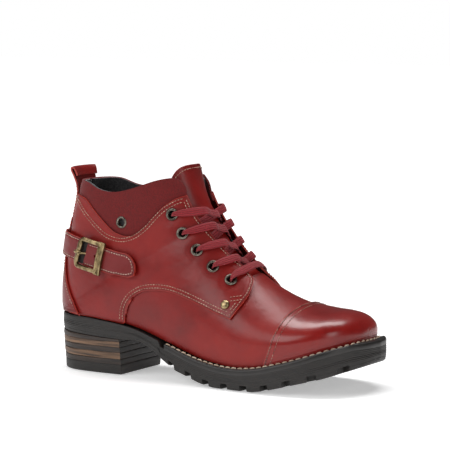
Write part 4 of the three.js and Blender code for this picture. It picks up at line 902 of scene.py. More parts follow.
def threadMaterial(name, low, high):
    # twisted thread: its tone changes from stitch to stitch
    material, tree, shader = newMaterial(name)
    tone = tree.nodes.new("ShaderNodeAttribute")
    tone.attribute_name = "tone"
    vector = objectPlace(tree)
    noise = noiseNode(tree, vector, 1400, 3)
    value = mathNode(tree, "ADD", mathNode(tree, "MULTIPLY", tone.outputs["Fac"], 0.7),
                     mathNode(tree, "MULTIPLY", noise, 0.3))
    tree.links.new(rampNode(tree, value, [(0.1, low), (0.8, high)]), shader.inputs["Base Color"])
    shader.inputs["Roughness"].default_value = 0.62
    tree.links.new(bumpNode(tree, noise, 0.0001, 0.8), shader.inputs["Normal"])
    return material


seamThread = threadMaterial("seamThread", (0.26, 0.1, 0.07), (0.46, 0.3, 0.22))
toeThread = threadMaterial("toeThread", (0.09, 0.014, 0.011), (0.36, 0.19, 0.14))
weltThread = threadMaterial("weltThread", (0.42, 0.3, 0.21), (0.66, 0.52, 0.39))
upperStitches()
print("seams ready")


# linings and tongue
liningLow = spline([[-133.6, 60], [-110, 58], [-80, 60], [-45, 64], [-8, 80]])
facingRear = spline([[13, 72.5], [4, 77.5], [-5, 87], [-16, 98], [-28, 110], [-35, 115]])
facingFore = spline([[37.7, 73.6], [36.6, 78.4], [27.9, 87.5], [17.9, 95.9], [7.4, 106.5], [-2.4, 117.4],
                     [-9.2, 125.8], [-14.6, 132.2]])


def liningSheet(name, drawn, side, level, node, rim, **settings):
    sides = np.full(drawn.shape[:2], float(side))
    u, t = placeOf(drawn[..., 0], drawn[..., 1], sides)
    leatherSheet(name, u, np.maximum(t, 0.006), sides, level, [fleece, rim], node=node, slotName="lining",
                 seams=False, **settings)


def underRim(s):
    return collarRim(s) + np.array([0, -0.5])


def linings():
    for side, name in ((lateral, "lateral"), (medial, "medial")):
        front = spline([[-8, 80], [-16, 104], [-22, 128], [-20.6, 151.1]])
        drawn = drawnGrid(patch(liningLow, underRim, backLine(60, 148.6), front), 120, 60)
        liningSheet("shaft_lining_" + name, drawn, side, levels["tucked"] - 1.75, "quarter_lining_" + name,
                    liningEdge, relief=0.3, thickness=1.3, bevel=0.4)
        s, r = np.meshgrid(np.linspace(0, 1, 110), np.linspace(0, 1, 30), indexing="ij")
        drawn = facingRear(s) * (1 - r[..., None]) + facingFore(s) * r[..., None]
        holes = [(sidePoint(px, pz, float(side)), panelSizes["liningHole"]) for px, pz in eyeletPlaces]
        liningSheet("facing_lining_" + name + "_cloth", drawn, side, -4.5, "facing_lining_" + name, fleece,
                    holes=holes, relief=0.1, thickness=1.1, bevel=0.2)


# the foot, top and hinge are stations; the padding lifts the top, and the throat lifts the foot
tongueSize = {"foot": 8.1, "top": 20.35, "curve": 1.3, "halfWidth": 0.38, "hinge": 18.5, "lift": 3.6,
              "footLift": 3.1, "folds": 0.14, "stitchInset": 0.93}


def tongueTop(w):
    return tongueSize["top"] - tongueSize["curve"] * np.abs(w) ** 3


def tonguePlace(u, w):
    # how far round it is, its side and its level
    rise = tongueSize["lift"] * share(u, 17.2, 20) ** 1.5 * (1 - w * w)
    return 1 - np.abs(w) * tongueSize["halfWidth"], sideOf(w), levels["tongue"] + rise


def tongueLeather():
    w, f = np.meshgrid(np.linspace(-1, 1, 61), np.linspace(0, 1, 150))
    u = mixed(tongueSize["foot"], tongueTop(w), f)
    t, side, level = tonguePlace(u, w)
    folds = np.sin(u * 9.0 + 1.2 * np.sin(w * 2)) * share(u, 11, 14) * (1 - share(u, 16, 18))
    level = level + tongueSize["footLift"] * (1 - smooth(share(u, 8.8, 11))) + tongueSize["folds"] * folds
    bendTongue(leatherSheet("tongue_leather", u, t, side, level, [redLeather, cutEdge], relief=0.14,
                            thickness=1.5, node=("tongue", "tongue_top")))
    edge = np.linspace(-1, 1, 500)
    w = np.clip(edge * 1.5, -1, 1) * tongueSize["stitchInset"]
    u = tongueTop(w) - 0.32 - np.clip(np.abs(edge) - 1 / 1.5, 0, 1) * 6
    t, side, level = tonguePlace(u, w)
    points, normals = pointsOf(u, t, side, 0)
    bendTongue(stitches("tongue_stitches", [(points + normals * (level - 0.05)[:, None], normals)], seamThread))


def bendTongue(obj):
    obj.parent = None
    del obj["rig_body"]
    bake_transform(obj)


linings()
tongueLeather()
print("linings and tongue ready")


# strap, pull tab and buckle
strapMiddle = [98.5, 98.6, 98.3, 97.6, 95.8, 93, 90.1, 85.8, 82.5]
strap = {"slope": 0.3, "tipTurn": 0.0019, "tip": -0.3695, "end": 0.3, "half": 9.5, "roll": -0.2515,
         "hole": -0.288, "tipPerMillimetre": 0.0032, "underBuckle": 3.1, "stitchInset": 1.9}
buckle = {"top": 12.2, "low": 4.68, "high": 7.28, "left": (-0.2405, -0.224), "right": (-0.311, -0.2955),
          "middle": (-0.262, -0.254)}


def strapPoint(v, w, level):
    v, w, level = np.broadcast_arrays(*[np.asarray(a, float) for a in (v, w, level)])
    side = np.where(v < 0, -1, 1)
    perMillimetre = np.maximum(0.0055 - 0.011 * np.abs(v), 0.0018)
    turn = np.minimum(np.abs(v) / 0.15, 1) * strap["slope"] * w * perMillimetre
    turn = turn + strap["tipTurn"] * np.clip((-0.335 - v) / 0.035, 0, 1) ** 2 * w
    return roundHeel(v + side * turn, through(strapMiddle, np.abs(v) / 0.05) + 0.957 * w, level)


def gridNormals(points):
    n = np.cross(np.gradient(points, axis=0), np.gradient(points, axis=1))
    return n / np.maximum(np.linalg.norm(n, axis=-1, keepdims=True), 1e-9)


def strapSheet(name, v, w, level, edge, holes=(), thickness=1.8, node=()):
    points = strapPoint(v, w, level)
    outwards = strapPoint(v, w, level + 1) - points
    flat, normals, tone = points.reshape(-1, 3), outwards.reshape(-1, 3), edge.reshape(-1)
    faces = punched(flat, gridFaces(*v.shape), holes)
    flat = flat + normals * (0.07 * noiseField(flat, 4.0, 7))[:, None]
    flat, faces, normals, tone = used(flat, faces, normals, tone)
    faces = outwardFaces(flat, faces, normals)
    obj = pieceFrom(name, flat, faces, [stripLeather, cutEdge], {"edge": tone})
    thicken(obj, thickness, 0.3)
    return settle(obj, node)


def strapHalf(v, inset=0.0):
    # half the strap's width at v: the tip is round
    drawnIn = inset * strap["tipPerMillimetre"]
    near = share(v, strap["tip"] + drawnIn, strap["tip"] + 0.03)
    return (strap["half"] - inset) * np.sqrt(np.maximum(1 - (1 - near) ** 2, 0.0))


def rearLevel(v):
    # the rear half dips under the buckle
    return mixed(strap["underBuckle"], levels["strap"], smooth(share(v, -0.218, -0.168)))


def crowned(level, w, edge):
    # the strap's edges round off, and its stitches sit in a groove
    return level - 0.2 * (np.abs(w) / strap["half"]) ** 6 + dent(edge, strap["stitchInset"], 0.8, 0.22)


def heelStrap():
    v = mixed(strap["tip"], strap["roll"], np.linspace(0, 1, 150) ** 1.3)[:, None]
    w = np.linspace(-1, 1, 41)[None, :] * np.maximum(strapHalf(v), 0.35)
    v = np.broadcast_to(v, w.shape)
    edge = np.minimum(np.maximum(strapHalf(v), 0.35) - np.abs(w), (v - strap["tip"]) * 320)
    toRoll = share(v, strap["roll"] - 0.0085, strap["roll"])
    level = crowned(levels["strap"] + 0.3 * np.sin(toRoll * math.pi) - 2.9 * toRoll ** 4, w, edge)
    hole = strapPoint(strap["hole"], 0.4, levels["strap"])
    strapSheet("heel_strap_front", v, w, level, edge, [(hole, 1.15)], node="heel_strap")
    v, w = np.meshgrid(np.linspace(-0.272, strap["end"], 330), np.linspace(-1, 1, 41) * strap["half"], indexing="ij")
    edge = strap["half"] - np.abs(w)
    strapSheet("heel_strap_rear", v, w, crowned(rearLevel(v), w, edge), edge, thickness=1.4, node="buckle_chape")
    # a thin near-black sheet between the buckle's bars, where there is only shadow: painted shadow
    v, w = np.meshgrid(np.linspace(-0.27, -0.2315, 40), np.linspace(-1, 1, 30) * 8.9, indexing="ij")
    chape = strapSheet("buckle_shadow_sheet", v, w, 3.75 + 0 * v, 9 - np.abs(w), thickness=0.5)
    chape.data.materials[0] = shadowSheetMaterial
    inset = strap["stitchInset"]
    tipEnd = strap["tip"] + inset * strap["tipPerMillimetre"] + 1e-4
    a = mixed(tipEnd, strap["roll"] - 0.008, np.linspace(0, 1, 400) ** 1.6)
    tip = np.concatenate([a[::-1], a[1:]])
    across = np.concatenate([-strapHalf(a, inset)[::-1], strapHalf(a, inset)[1:]])
    v = np.linspace(-0.23, strap["end"] - 0.008, 500)
    rows = [(tip, across, levels["strap"] - 0.2)]
    rows += [(v, sign * (strap["half"] - inset), rearLevel(v) - 0.2) for sign in (-1, 1)]
    stitches("strap_stitches", [(strapPoint(v, w, level), strapPoint(v, w, 5) - strapPoint(v, w, 4))
                                for v, w, level in rows], strapThread)


strapThread = threadMaterial("strapThread", (0.36, 0.22, 0.17), (0.56, 0.4, 0.32))


def skin(rows):
    # faces over rings of points; each end closes on its middle by a last ring drawn in
    rings, around = len(rows), len(rows[0])
    ends = [row.mean(0) + (row - row.mean(0)) * 0.02 for row in (rows[0], rows[-1])]
    k = np.arange(around)
    n = (k + 1) % around
    last, low, high = (rings - 1) * around, rings * around, (rings + 1) * around
    faces = [gridFaces(rings, around, closedColumns=True), np.stack([low + k, low + n, n, k], -1),
             np.stack([last + k, last + n, high + n, high + k], -1)]
    return np.concatenate(list(rows) + ends), np.concatenate(faces)


def sweep(centres, aSide, bSide, section):
    # a section swept along centres: section gives (a, b) pairs in millimetres for each step
    return skin([c + sec[:, :1] * a + sec[:, 1:] * b for c, a, b, sec in zip(centres, aSide, bSide, section)])


def roundSection(a, b, power=2.6, count=24):
    turn = np.linspace(0, 2 * math.pi, count, endpoint=False)
    c, s = np.cos(turn), np.sin(turn)
    return np.stack([a * np.sign(c) * np.abs(c) ** (2 / power), b * np.sign(s) * np.abs(s) ** (2 / power)], -1)


def bar(place, w, level, section):
    # a bar across the strap: its sections lie along the strap and the normal
    centre, step = strapPoint(place, w, level), 0.001
    out = unit(strapPoint(place, w, level + 0.5) - strapPoint(place, w, level - 0.5))
    along = unit(strapPoint(place + step, w, level) - strapPoint(place - step, w, level))
    return sweep(centre, along, out, section)


def bentBar(left, right, half, level, corner=3.4, perMillimetre=0.0034):
    # the C of the buckle's frame: from the right bar along the top, down, and back along the foot
    reach = (left - right) / perMillimetre
    turn = np.linspace(0, math.pi / 2, 14)
    top = np.stack([np.linspace(-reach, -corner, 40), np.full(40, half)], -1)
    bend = np.stack([-corner + corner * np.sin(turn), half - corner + corner * np.cos(turn)], -1)
    side = np.stack([np.zeros(30), np.linspace(half - corner, 0, 30)], -1)
    upper = np.concatenate([top, bend[1:], side[1:]])
    path = np.concatenate([upper, (upper * [1, -1])[::-1][1:]])
    v, w = left + path[:, 0] * perMillimetre, path[:, 1]
    centre = strapPoint(v, w, level)
    out = unit(strapPoint(v, w, level + 0.5) - strapPoint(v, w, level - 0.5))
    run = unit(np.gradient(centre, axis=0))
    across = unit(np.cross(out, run))
    return centre, across, out


def joined(name, parts, material, node, body="boot", smooth=35):
    points, faces, total = [], [], 0
    for p, f in parts:
        points.append(p)
        faces.append(f + total)
        total += len(p)
    obj = pieceFrom(name, np.concatenate(points), np.concatenate(faces), [material])
    recalculate(obj)
    smoothByAngle(obj, smooth)
    settle(obj, node, body)


def buckleFrame():
    middleLevel, half = (buckle["low"] + buckle["high"]) / 2, (buckle["high"] - buckle["low"]) / 2
    w = np.linspace(-8.6, 8.6, 60)
    centre = sum(buckle["left"]) / 2
    section = [roundSection(2.15 - 0.3 * (abs(step) > 8.3), half * (1 - 0.15 * (abs(step) > 8.3)), 2.2) for step in w]
    parts = [bar(centre, w, middleLevel + 0.1, section)]
    c, a, o = bentBar(centre, buckle["right"][0] + 0.008, buckle["top"] - 1.2, 5.6)
    parts.append(sweep(c, a, o, [roundSection(1.65, 1.75, 2.6) for _ in c]))
    wide = 13.1
    w = np.concatenate([[-wide], np.linspace(-wide + 0.35, wide - 0.35, 120), [wide]])
    rails = np.array([[-2.9, -1.1], [2.9, -1.1], [2.9, 0.9], [2.5, 1.3], [1.9, 1.3], [1.6, 0.85], [-1.6, 0.85],
                      [-1.9, 1.3], [-2.5, 1.3], [-2.9, 0.9]])
    section = []
    for k, step in enumerate(w):
        s = rails.copy()
        s[5:7, 1] += 0.14 * (k % 2)
        section.append(s * (0.9 if abs(step) > wide - 0.2 else 1))
    parts.append(bar(sum(buckle["right"]) / 2, w, middleLevel, section))
    w = np.linspace(-11, 11, 40)
    parts.append(bar(sum(buckle["middle"]) / 2, w, 1.95, [roundSection(1.25, 0.75) for _ in w]))
    joined("buckle_frame_brass", parts, antiqueBrass, "buckle_frame")
    v = np.array([-0.262, -0.257, -0.2525, -0.249, -0.246, -0.2425, -0.238, -0.232, -0.2285])
    level = np.array([2.6, 3.2, 4.6, 6.2, 7.4, 8.2, 8.6, 8.5, 8.2])
    s = np.linspace(0, 8, 60)
    v, level = through(v, s), through(level, s)
    centre = strapPoint(v, 0, level)
    run = unit(np.gradient(centre, axis=0))
    across = unit(strapPoint(v, 1, level) - centre)
    other = unit(np.cross(run, across))
    radius = 1.15 + 0.25 * np.clip((s - 5.5) / 1.5, 0, 1)
    radius = radius * np.sqrt(np.maximum(1 - np.clip((s - 7.5) / 0.52, 0, 1) ** 2, 0.02))
    joined("buckle_pin_brass", [sweep(centre, across, other, [roundSection(r, r, 2) for r in radius])],
           antiqueBrass, "buckle_pin", "buckle_pin_body")


tabRoute = [[118, 0], [124, 0], [130, 0], [138, 0.3], [144, 2.2], [149, 5.2], [153, 8], [155.4, 8.4],
            [156, 6.8], [154.6, 4.8], [152.4, 3.2], [150.4, 2]]
# millimetres round the heel for the whole of t at the tab's height
tabScale = 186
tabHalf, tabSeat = 25 / 2 / tabScale, 1.15


def pullTab():
    route = np.array(tabRoute, float)
    s = np.linspace(0, len(route) - 1, 130)
    z, rise = through(route[:, 0], s), through(route[:, 1], s)
    v = np.linspace(-tabHalf, tabHalf, 41)
    z, v = np.broadcast_arrays(z[:, None], v[None, :])
    points = roundHeel(v, z, tabSeat + rise[:, None] + 0 * v)
    normals = gridNormals(points)
    if normals[10, 20, 0] > 0:
        normals = -normals
    edge = (tabHalf - np.abs(v)) * tabScale
    flat, flatNormals = points.reshape(-1, 3), normals.reshape(-1, 3)
    flat = flat + flatNormals * (0.06 * noiseField(flat, 4, 9) + 0.2)[:, None]
    faces = outwardFaces(flat, gridFaces(*z.shape), flatNormals)
    obj = pieceFrom("pull_tab_leather", flat, faces, [redLeather, cutEdge], {"edge": edge.reshape(-1)})
    thicken(obj, 1.25, 0.25)
    settle(obj, "pull_tab")
    rows = []
    for sign in (-1, 1):
        side = np.full(100, sign * (tabHalf - 2.1 / tabScale))
        height = np.linspace(119.5, 150, 100)
        rows.append((roundHeel(side, height, tabSeat + np.interp(height, route[:6, 0], route[:6, 1]) + 0.25),
                     roundHeel(side, height, 2) - roundHeel(side, height, 1)))
    stitches("pull_tab_stitches", rows, seamThread)


heelStrap()
buckleFrame()
pullTab()
print("strap, tab and buckle ready")


# eyelets, rivets and lace
def turnedPiece(name, profile, place, side, material, node):
    profile = np.array(profile, float)
    around = 40
    turn = np.linspace(0, 2 * math.pi, around, endpoint=False)
    u, t = placeOf(place[0], place[1], float(side))
    centre, axis = lastPoint(u, t, float(side)), lastNormal(u, t, float(side))
    a = unit(np.cross(axis, [0.3, 0.2, 1]))
    b = np.cross(axis, a)
    ring = np.cos(turn)[:, None] * a + np.sin(turn)[:, None] * b
    points = centre + profile[:, :1, None] * ring[None] + profile[:, 1:, None] * axis
    faces = gridFaces(len(profile), around, closedRows=True, closedColumns=True)
    obj = pieceFrom(name, points.reshape(-1, 3), faces, [material])
    recalculate(obj)
    smoothByAngle(obj, 40)
    settle(obj, node)


def eyeletProfile(top, inner):
    ring = [[2.8, inner], [2.8, top + 0.3]]
    for angle in np.linspace(math.pi, 0, 12):
        ring.append([3.75 + 0.95 * math.cos(angle), top + 0.25 + 0.75 * math.sin(angle)])
    return ring + [[4.7, top + 0.05], [3.5, top], [3.5, inner + 0.5], [4.3, inner + 0.45], [4.2, inner]]


def fittings():
    for side, name in ((lateral, "lateral"), (medial, "medial")):
        for k, place in enumerate(eyeletPlaces):
            turnedPiece("eyelet_" + name + "_ring_%d" % (k + 1), eyeletProfile(0.42, -4.0), place, side, gunmetal,
                        "eyelet_%s_%d" % (name, k + 1))
        dome = [[0.02, -4], [2.8, -4], [2.8, -3.5], [1.3, -3.5], [1.3, 0.4], [3.4, 0.4], [3.5, 0.7]]
        dome += [[3.45 * math.cos(a), 0.85 + 1.7 * math.sin(a)] for a in np.linspace(0.1, 1.565, 10)]
        turnedPiece("rivet_" + name + "_dome", dome, rivetPlace, side, antiqueBrass, "rivet_" + name)
    turnedPiece("vent_eyelet_ring", eyeletProfile(-1.35, -3.9), ventPlace, lateral, gunmetal, "vent_eyelet")


laceSize = {"width": 6.3, "thickness": 1.4, "onTop": 1.3, "under": -5.04, "rest": -5.64, "narrow": 3.4,
            "ribs": 4}


def laceRoute():
    u, t = placeOf([x for x, _ in eyeletPlaces], [z for _, z in eyeletPlaces], float(lateral))
    places = list(zip(u, 1 - t))
    top, under, rest = laceSize["onTop"], laceSize["under"], laceSize["rest"]

    def rises(k, side, nextU, nextV):
        a, b = places[k][0], side * places[k][1]
        part = [[a, b, under - 0.15, laceSize["narrow"]], [a, b, (under + top) / 2, laceSize["narrow"]]]
        for f, level, width in ((0.02, top + 1.2, laceSize["narrow"]), (0.11, top + 0.9, laceSize["width"] - 0.6)):
            part.append([mixed(a, nextU, f), mixed(b, nextV, f), level, width])
        return part

    def strand(k, side):
        a, b = places[k][0], side * places[k][1]
        c, d = places[k + 1][0], -side * places[k + 1][1]
        crossing = rest + (1.9 if side == lateral else 0)
        steps = [[0.2, top + 0.6], [0.27, top + 0.8], [0.34, top], [0.42, crossing + 1.4], [0.5, crossing + 0.2],
                 [0.58, crossing], [0.66, rest + 0.2], [0.73, under], [0.82, under - 0.1], [0.92, under - 0.3]]
        return rises(k, side, c, d) + [[mixed(a, c, f), mixed(b, d, f), level, laceSize["width"]]
                                       for f, level in steps]

    last = len(places) - 1
    barSide = lateral if last % 2 == 0 else medial
    barU, barV = places[last]
    route = [[places[0][0] + g, lateral * places[0][1] * h, under - 0.1, laceSize["width"]]
             for g, h in ((1.5, 0.97), (0.7, 0.99))]
    for k in range(last):
        route += strand(k, lateral if k % 2 == 0 else medial)
    route += rises(last, barSide, barU, -barSide * barV)
    route += [[barU - 0.12 * math.sin(math.pi * f), barSide * barV * (1 - 2 * f), top + 0.4, laceSize["width"]]
              for f in (0.2, 0.3, 0.42, 0.5, 0.58, 0.7, 0.8)]
    back = []
    for k in range(last):
        back += strand(k, medial if k % 2 == 0 else lateral)
    route += rises(last, -barSide, barU, barSide * barV)[::-1] + back[::-1]
    route += [[places[0][0] + g, medial * places[0][1] * h, under - 0.1, laceSize["width"]]
              for g, h in ((0.7, 0.99), (1.5, 0.97))]
    return np.array(route)


def laceMaterial():
    # a flat plaited lace: chevrons of yarn across its ribs, on the lace's own UV map
    material, tree, shader = newMaterial("plaitedLace")
    uv = tree.nodes.new("ShaderNodeUVMap")
    uv.uv_map = "UVMap"
    parts = tree.nodes.new("ShaderNodeSeparateXYZ")
    tree.links.new(uv.outputs["UV"], parts.inputs["Vector"])
    rib = mathNode(tree, "PINGPONG", parts.outputs["Y"], 0.5)
    slanted = mathNode(tree, "ADD", parts.outputs["X"], mathNode(tree, "MULTIPLY", rib, 1.6))
    yarn = mathNode(tree, "SINE", mathNode(tree, "MULTIPLY", slanted, 2 * math.pi / 0.95))
    ribShade = mathNode(tree, "SINE", mathNode(tree, "MULTIPLY", parts.outputs["Y"], 2 * math.pi))
    height = mathNode(tree, "ADD", mathNode(tree, "MULTIPLY", yarn, 0.25),
                      mathNode(tree, "MULTIPLY", ribShade, 0.35))
    vector = objectPlace(tree)
    fuzz = noiseNode(tree, vector, 1500, 4)
    # the colour follows the weave's height, darker in the grooves between ribs and yarns: painted shade
    tone = mathNode(tree, "ADD", mathNode(tree, "MULTIPLY", height, 0.5),
                    mathNode(tree, "MULTIPLY", fuzz, 0.7))
    tree.links.new(rampNode(tree, tone, [(0.05, laceLook["deep"]), (0.6, laceLook["bright"])]),
              shader.inputs["Base Color"])
    shader.inputs["Roughness"].default_value = 0.78
    shader.inputs["Sheen Weight"].default_value = 0.08
    tree.links.new(bumpNode(tree, height, 0.00025, 0.9), shader.inputs["Normal"])
    return material


laceLook = {"deep": (0.1, 0.0015, 0.004), "bright": (0.31, 0.006, 0.015)}


def laceRibbon():
    route = laceRoute()
    s = np.linspace(0, len(route) - 1, (len(route) - 1) * 7 + 1)
    u, v, level, width = [through(route[:, k], s) for k in range(4)]
    side = sideOf(v)
    normal = lastNormal(u, 1 - np.abs(v), side)
    centre = lastPoint(u, 1 - np.abs(v), side) + normal * level[:, None]
    run = unit(np.gradient(centre, axis=0))
    chord = centre[np.minimum(np.arange(len(s)) + 26, len(s) - 1)] - centre[np.maximum(np.arange(len(s)) - 26, 0)]
    wide = unit(np.cross(unit(chord), normal))
    wide = unit(wide - run * (wide * run).sum(-1, keepdims=True))
    ends = np.pad(wide, ((10, 10), (0, 0)), mode="edge")
    wide = np.stack([np.convolve(ends[:, k], np.ones(21) / 21, mode="valid") for k in range(3)], -1)
    wide = unit(wide - run * (wide * run).sum(-1, keepdims=True))
    thick = np.cross(wide, run)
    half = 17
    a = np.linspace(-1, 1, half)
    rise = 0.5 * (1 - 0.75 * np.abs(a) ** 5) + 0.075 * np.cos(a * math.pi * laceSize["ribs"]) - 0.02
    section = np.concatenate([np.stack([a, rise], -1), np.stack([a[::-1], -rise[::-1]], -1)[1:-1]])
    scale = np.stack([width / 2, np.full(len(s), laceSize["thickness"])], -1)
    points = centre[:, None] + section[None, :, :1] * scale[:, None, :1] * wide[:, None] \
        + section[None, :, 1:] * scale[:, None, 1:] * thick[:, None]
    around = len(section)
    along = np.concatenate([[0], np.cumsum(np.linalg.norm(np.diff(centre, axis=0), axis=1))])
    across = (section[:, 0] + 1) * laceSize["ribs"] / 2
    uv = np.stack(np.broadcast_arrays(along[:, None], across[None, :]), -1).reshape(-1, 2)
    faces = gridFaces(len(s), around, closedColumns=True)
    obj = pieceFrom("lace_ribbon", points.reshape(-1, 3), faces, [laceMaterial()], uv=uv)
    activate(obj)
    bpy.ops.object.mode_set(mode="EDIT")
    bpy.ops.mesh.select_mode(type="EDGE")
    bpy.ops.mesh.select_all(action="DESELECT")
    bpy.ops.mesh.select_non_manifold()
    bpy.ops.mesh.edge_face_add()
    bpy.ops.mesh.select_all(action="SELECT")
    bpy.ops.mesh.normals_make_consistent(inside=False)
    bpy.ops.object.mode_set(mode="OBJECT")
    settle(obj, "lace")


fittings()
laceRibbon()
print("eyelets, rivets and lace ready")


# sole and heel
sole = {"edge": [8.4, 7.6, 6.6, 6, 5.6, 5.3, 5.2, 5, 4.8, 4.4, 3.4, 2.6, 2.4, 2.2, 2, 1.8, 1.8],
        "seatGap": 1.5, "lip": 0.35, "welt": 3.0, "weltEnd": 10.0, "weltDrop": 3.9, "treadInset": 0.6,
        "lugPitch": 17.0, "lugWidth": 5.6, "lugDepth": 4.4, "lugReach": 9.0, "firstLug": -19.0, "lastLug": 122.0,
        "seatInset": 6.0, "wallRings": 22}
underside = np.array([[-137, 31.2], [-100, 29.2], [-69, 27.8], [-58, 28.6], [-49, 27.2], [-39, 22.6],
                      [-29.4, 16.4], [-16.6, 9], [-3.6, 5.4], [7.4, 2], [20, 0], [56, 0], [67, 1.9], [76, 4.2],
                      [92, 8.4], [108.6, 12.6], [121, 17], [130.4, 20.3], [137, 24]])
heel = {"breast": -70.0, "station": 11.4, "taper": 4.6, "seat": 27.8, "topPiece": 7.6, "centre": -100.0,
        "shares": [4.3, 5.2, 4.3, 4.4], "sum": 20.2, "rake": 3.4}
seatStations = np.linspace(0, heelEnd, 3000)


def soleHeight(x):
    back = backAt(seatStations)
    return np.interp(x, back[::-1, 0], back[::-1, 1])


def undersideAt(x):
    fine = np.linspace(-137, 137, 549)
    low = np.interp(fine, underside[:, 0], underside[:, 1])
    low = np.convolve(np.pad(low, 4, mode="edge"), np.ones(9) / 9, mode="valid")
    return np.interp(x, fine, low)


def soleLine(u, side, grow):
    def here(v):
        back = backAt(v)
        foot = np.maximum(np.where(side < 0, stationValue(5, v), stationValue(6, v)), 0)
        return np.stack([back[..., 0], stationValue(4, v) + side * foot], -1)

    u, side = np.broadcast_arrays(np.asarray(u, float), np.asarray(side, float))
    p = here(u)
    run = here(np.minimum(u + 0.02, heelEnd)) - here(np.maximum(u - 0.02, 0))
    out = unit(np.stack([side * run[..., 1], -side * run[..., 0]], -1))
    flip = (out[..., 1] * side < 0) & (np.abs(out[..., 1]) > 0.2)
    out = np.where(flip[..., None], -out, out)
    tip = (u < 1e-9) | (u > heelEnd - 1e-9)
    out = np.where(tip[..., None], np.stack([np.where(u < 1, 1.0, -1.0), 0 * u], -1), out)
    q = p + out * np.asarray(grow, float)[..., None]
    return q, soleHeight(q[..., 0]), out


def perimeter(low, high, step, extra=()):
    # stations from low to high, evenly spaced along the sole line, with some added
    fine = np.linspace(low, high, 4000)
    p, _, _ = soleLine(fine, np.full(fine.shape, -1.0), 0 * fine)
    reach = np.concatenate([[0], np.cumsum(np.linalg.norm(np.diff(p, axis=0), axis=1))])
    u = np.interp(np.linspace(0, reach[-1], int(reach[-1] / step)), reach, fine)
    return np.unique(np.round(np.concatenate([u, np.asarray(extra, float)]), 5))


def outsoleRubber():
    lugs = np.arange(sole["firstLug"], sole["lastLug"], sole["lugPitch"])
    walls = np.concatenate([lugs + s * (sole["lugWidth"] / 2 + g) for s in (-1, 1) for g in (-0.25, 0.25)])
    back = backAt(seatStations)
    extra = np.interp(walls, back[::-1, 0], seatStations[::-1])
    u = perimeter(0, heelEnd, 1.3, extra)
    u = np.concatenate([u, u[1:-1][::-1]])
    count = len(u) // 2 + 1
    side = np.where(np.arange(len(u)) < count, -1.0, 1.0)
    grow = through(sole["edge"], u)
    middleX, middleY = backAt(u)[:, 0], stationValue(4, u)
    # in front of the heel the rubber's edge drops to make room for the welt
    fore = sole["weltDrop"] * np.clip((10.18 - u) / 0.06, 0, 1)
    rings = []
    edge, seat, _ = soleLine(u, side, grow)
    seatTop = seat - sole["lip"] - fore
    for reachIn, drop in ((-sole["seatInset"] + 0 * u, sole["seatGap"]), (-0.2 + 0 * u, sole["seatGap"]),
                          (0.5 + 0 * u, sole["lip"]), (grow - 0.7, sole["lip"])):
        rim, rimSeat, _ = soleLine(u, side, reachIn)
        rings.append(np.column_stack([rim, rimSeat - drop - fore]))
    belowEdge = undersideAt(edge[:, 0])
    notch = np.zeros(len(u))
    for x in lugs:
        notch = np.maximum(notch, np.clip((sole["lugWidth"] / 2 + 0.25 - np.abs(backAt(u)[:, 0] - x)) / 0.5, 0, 1))
    notch *= (u < 10.2)
    wall = sole["wallRings"]
    for k in np.linspace(0, 1, wall):
        share = 0.985 - 0.955 * k
        groove = 0.16 * math.cos(k * wall * 1.05 * math.pi) * (0.08 < k < 0.95)
        g = grow - 0.3 * abs(2 * k - 1) ** 6 - 0.9 * max(k - 0.55, 0) + groove
        p, _, _ = soleLine(u, side, g)
        z = mixed(belowEdge, seatTop, share)
        lift = notch * np.clip(sole["lugDepth"] - (z - belowEdge), 0, None)
        rings.append(np.column_stack([p, z + lift]))
    for inset in (1.6, 4.0, sole["lugReach"] - 0.3, sole["lugReach"] + 0.3, 14.0):
        p, _, _ = soleLine(u, side, grow - inset - sole["treadInset"])
        deep = notch if inset < sole["lugReach"] else 0 * notch
        rings.append(np.column_stack([p, undersideAt(p[:, 0]) + deep * sole["lugDepth"]]))
    middle = np.column_stack([middleX, middleY, undersideAt(middleX)])
    rings.append(mixed(rings[-1], middle, 0.97))
    seatMiddle = np.column_stack([middleX, middleY, soleHeight(middleX) - sole["seatGap"]])
    rings.insert(0, mixed(rings[0], seatMiddle, 0.97))
    points = np.concatenate(rings)
    # the first and last ring meet their own other side along the middle line
    n = len(u)
    faces = [gridFaces(len(rings), n, closedColumns=True)]
    k = np.arange(1, n // 2)
    for start in (0, (len(rings) - 1) * n):
        faces.append(np.stack([k[:-1], k[1:], n - k[1:], n - k[:-1]], -1) + start)
    rough = noiseField(points * np.array([0.35, 0.35, 1.0]), 1.1, 4) * 0.06
    centre = points - np.column_stack([np.tile(middleX, len(rings)), np.tile(middleY, len(rings)), points[:, 2]])
    points = points + unit(centre) * rough[:, None]
    points[:, 2] = np.maximum(points[:, 2], 0)
    obj = pieceFrom("outsole_rubber", points, np.concatenate(faces), [rubber])
    recalculate(obj)
    smoothByAngle(obj, 32)
    settle(obj, "outsole")


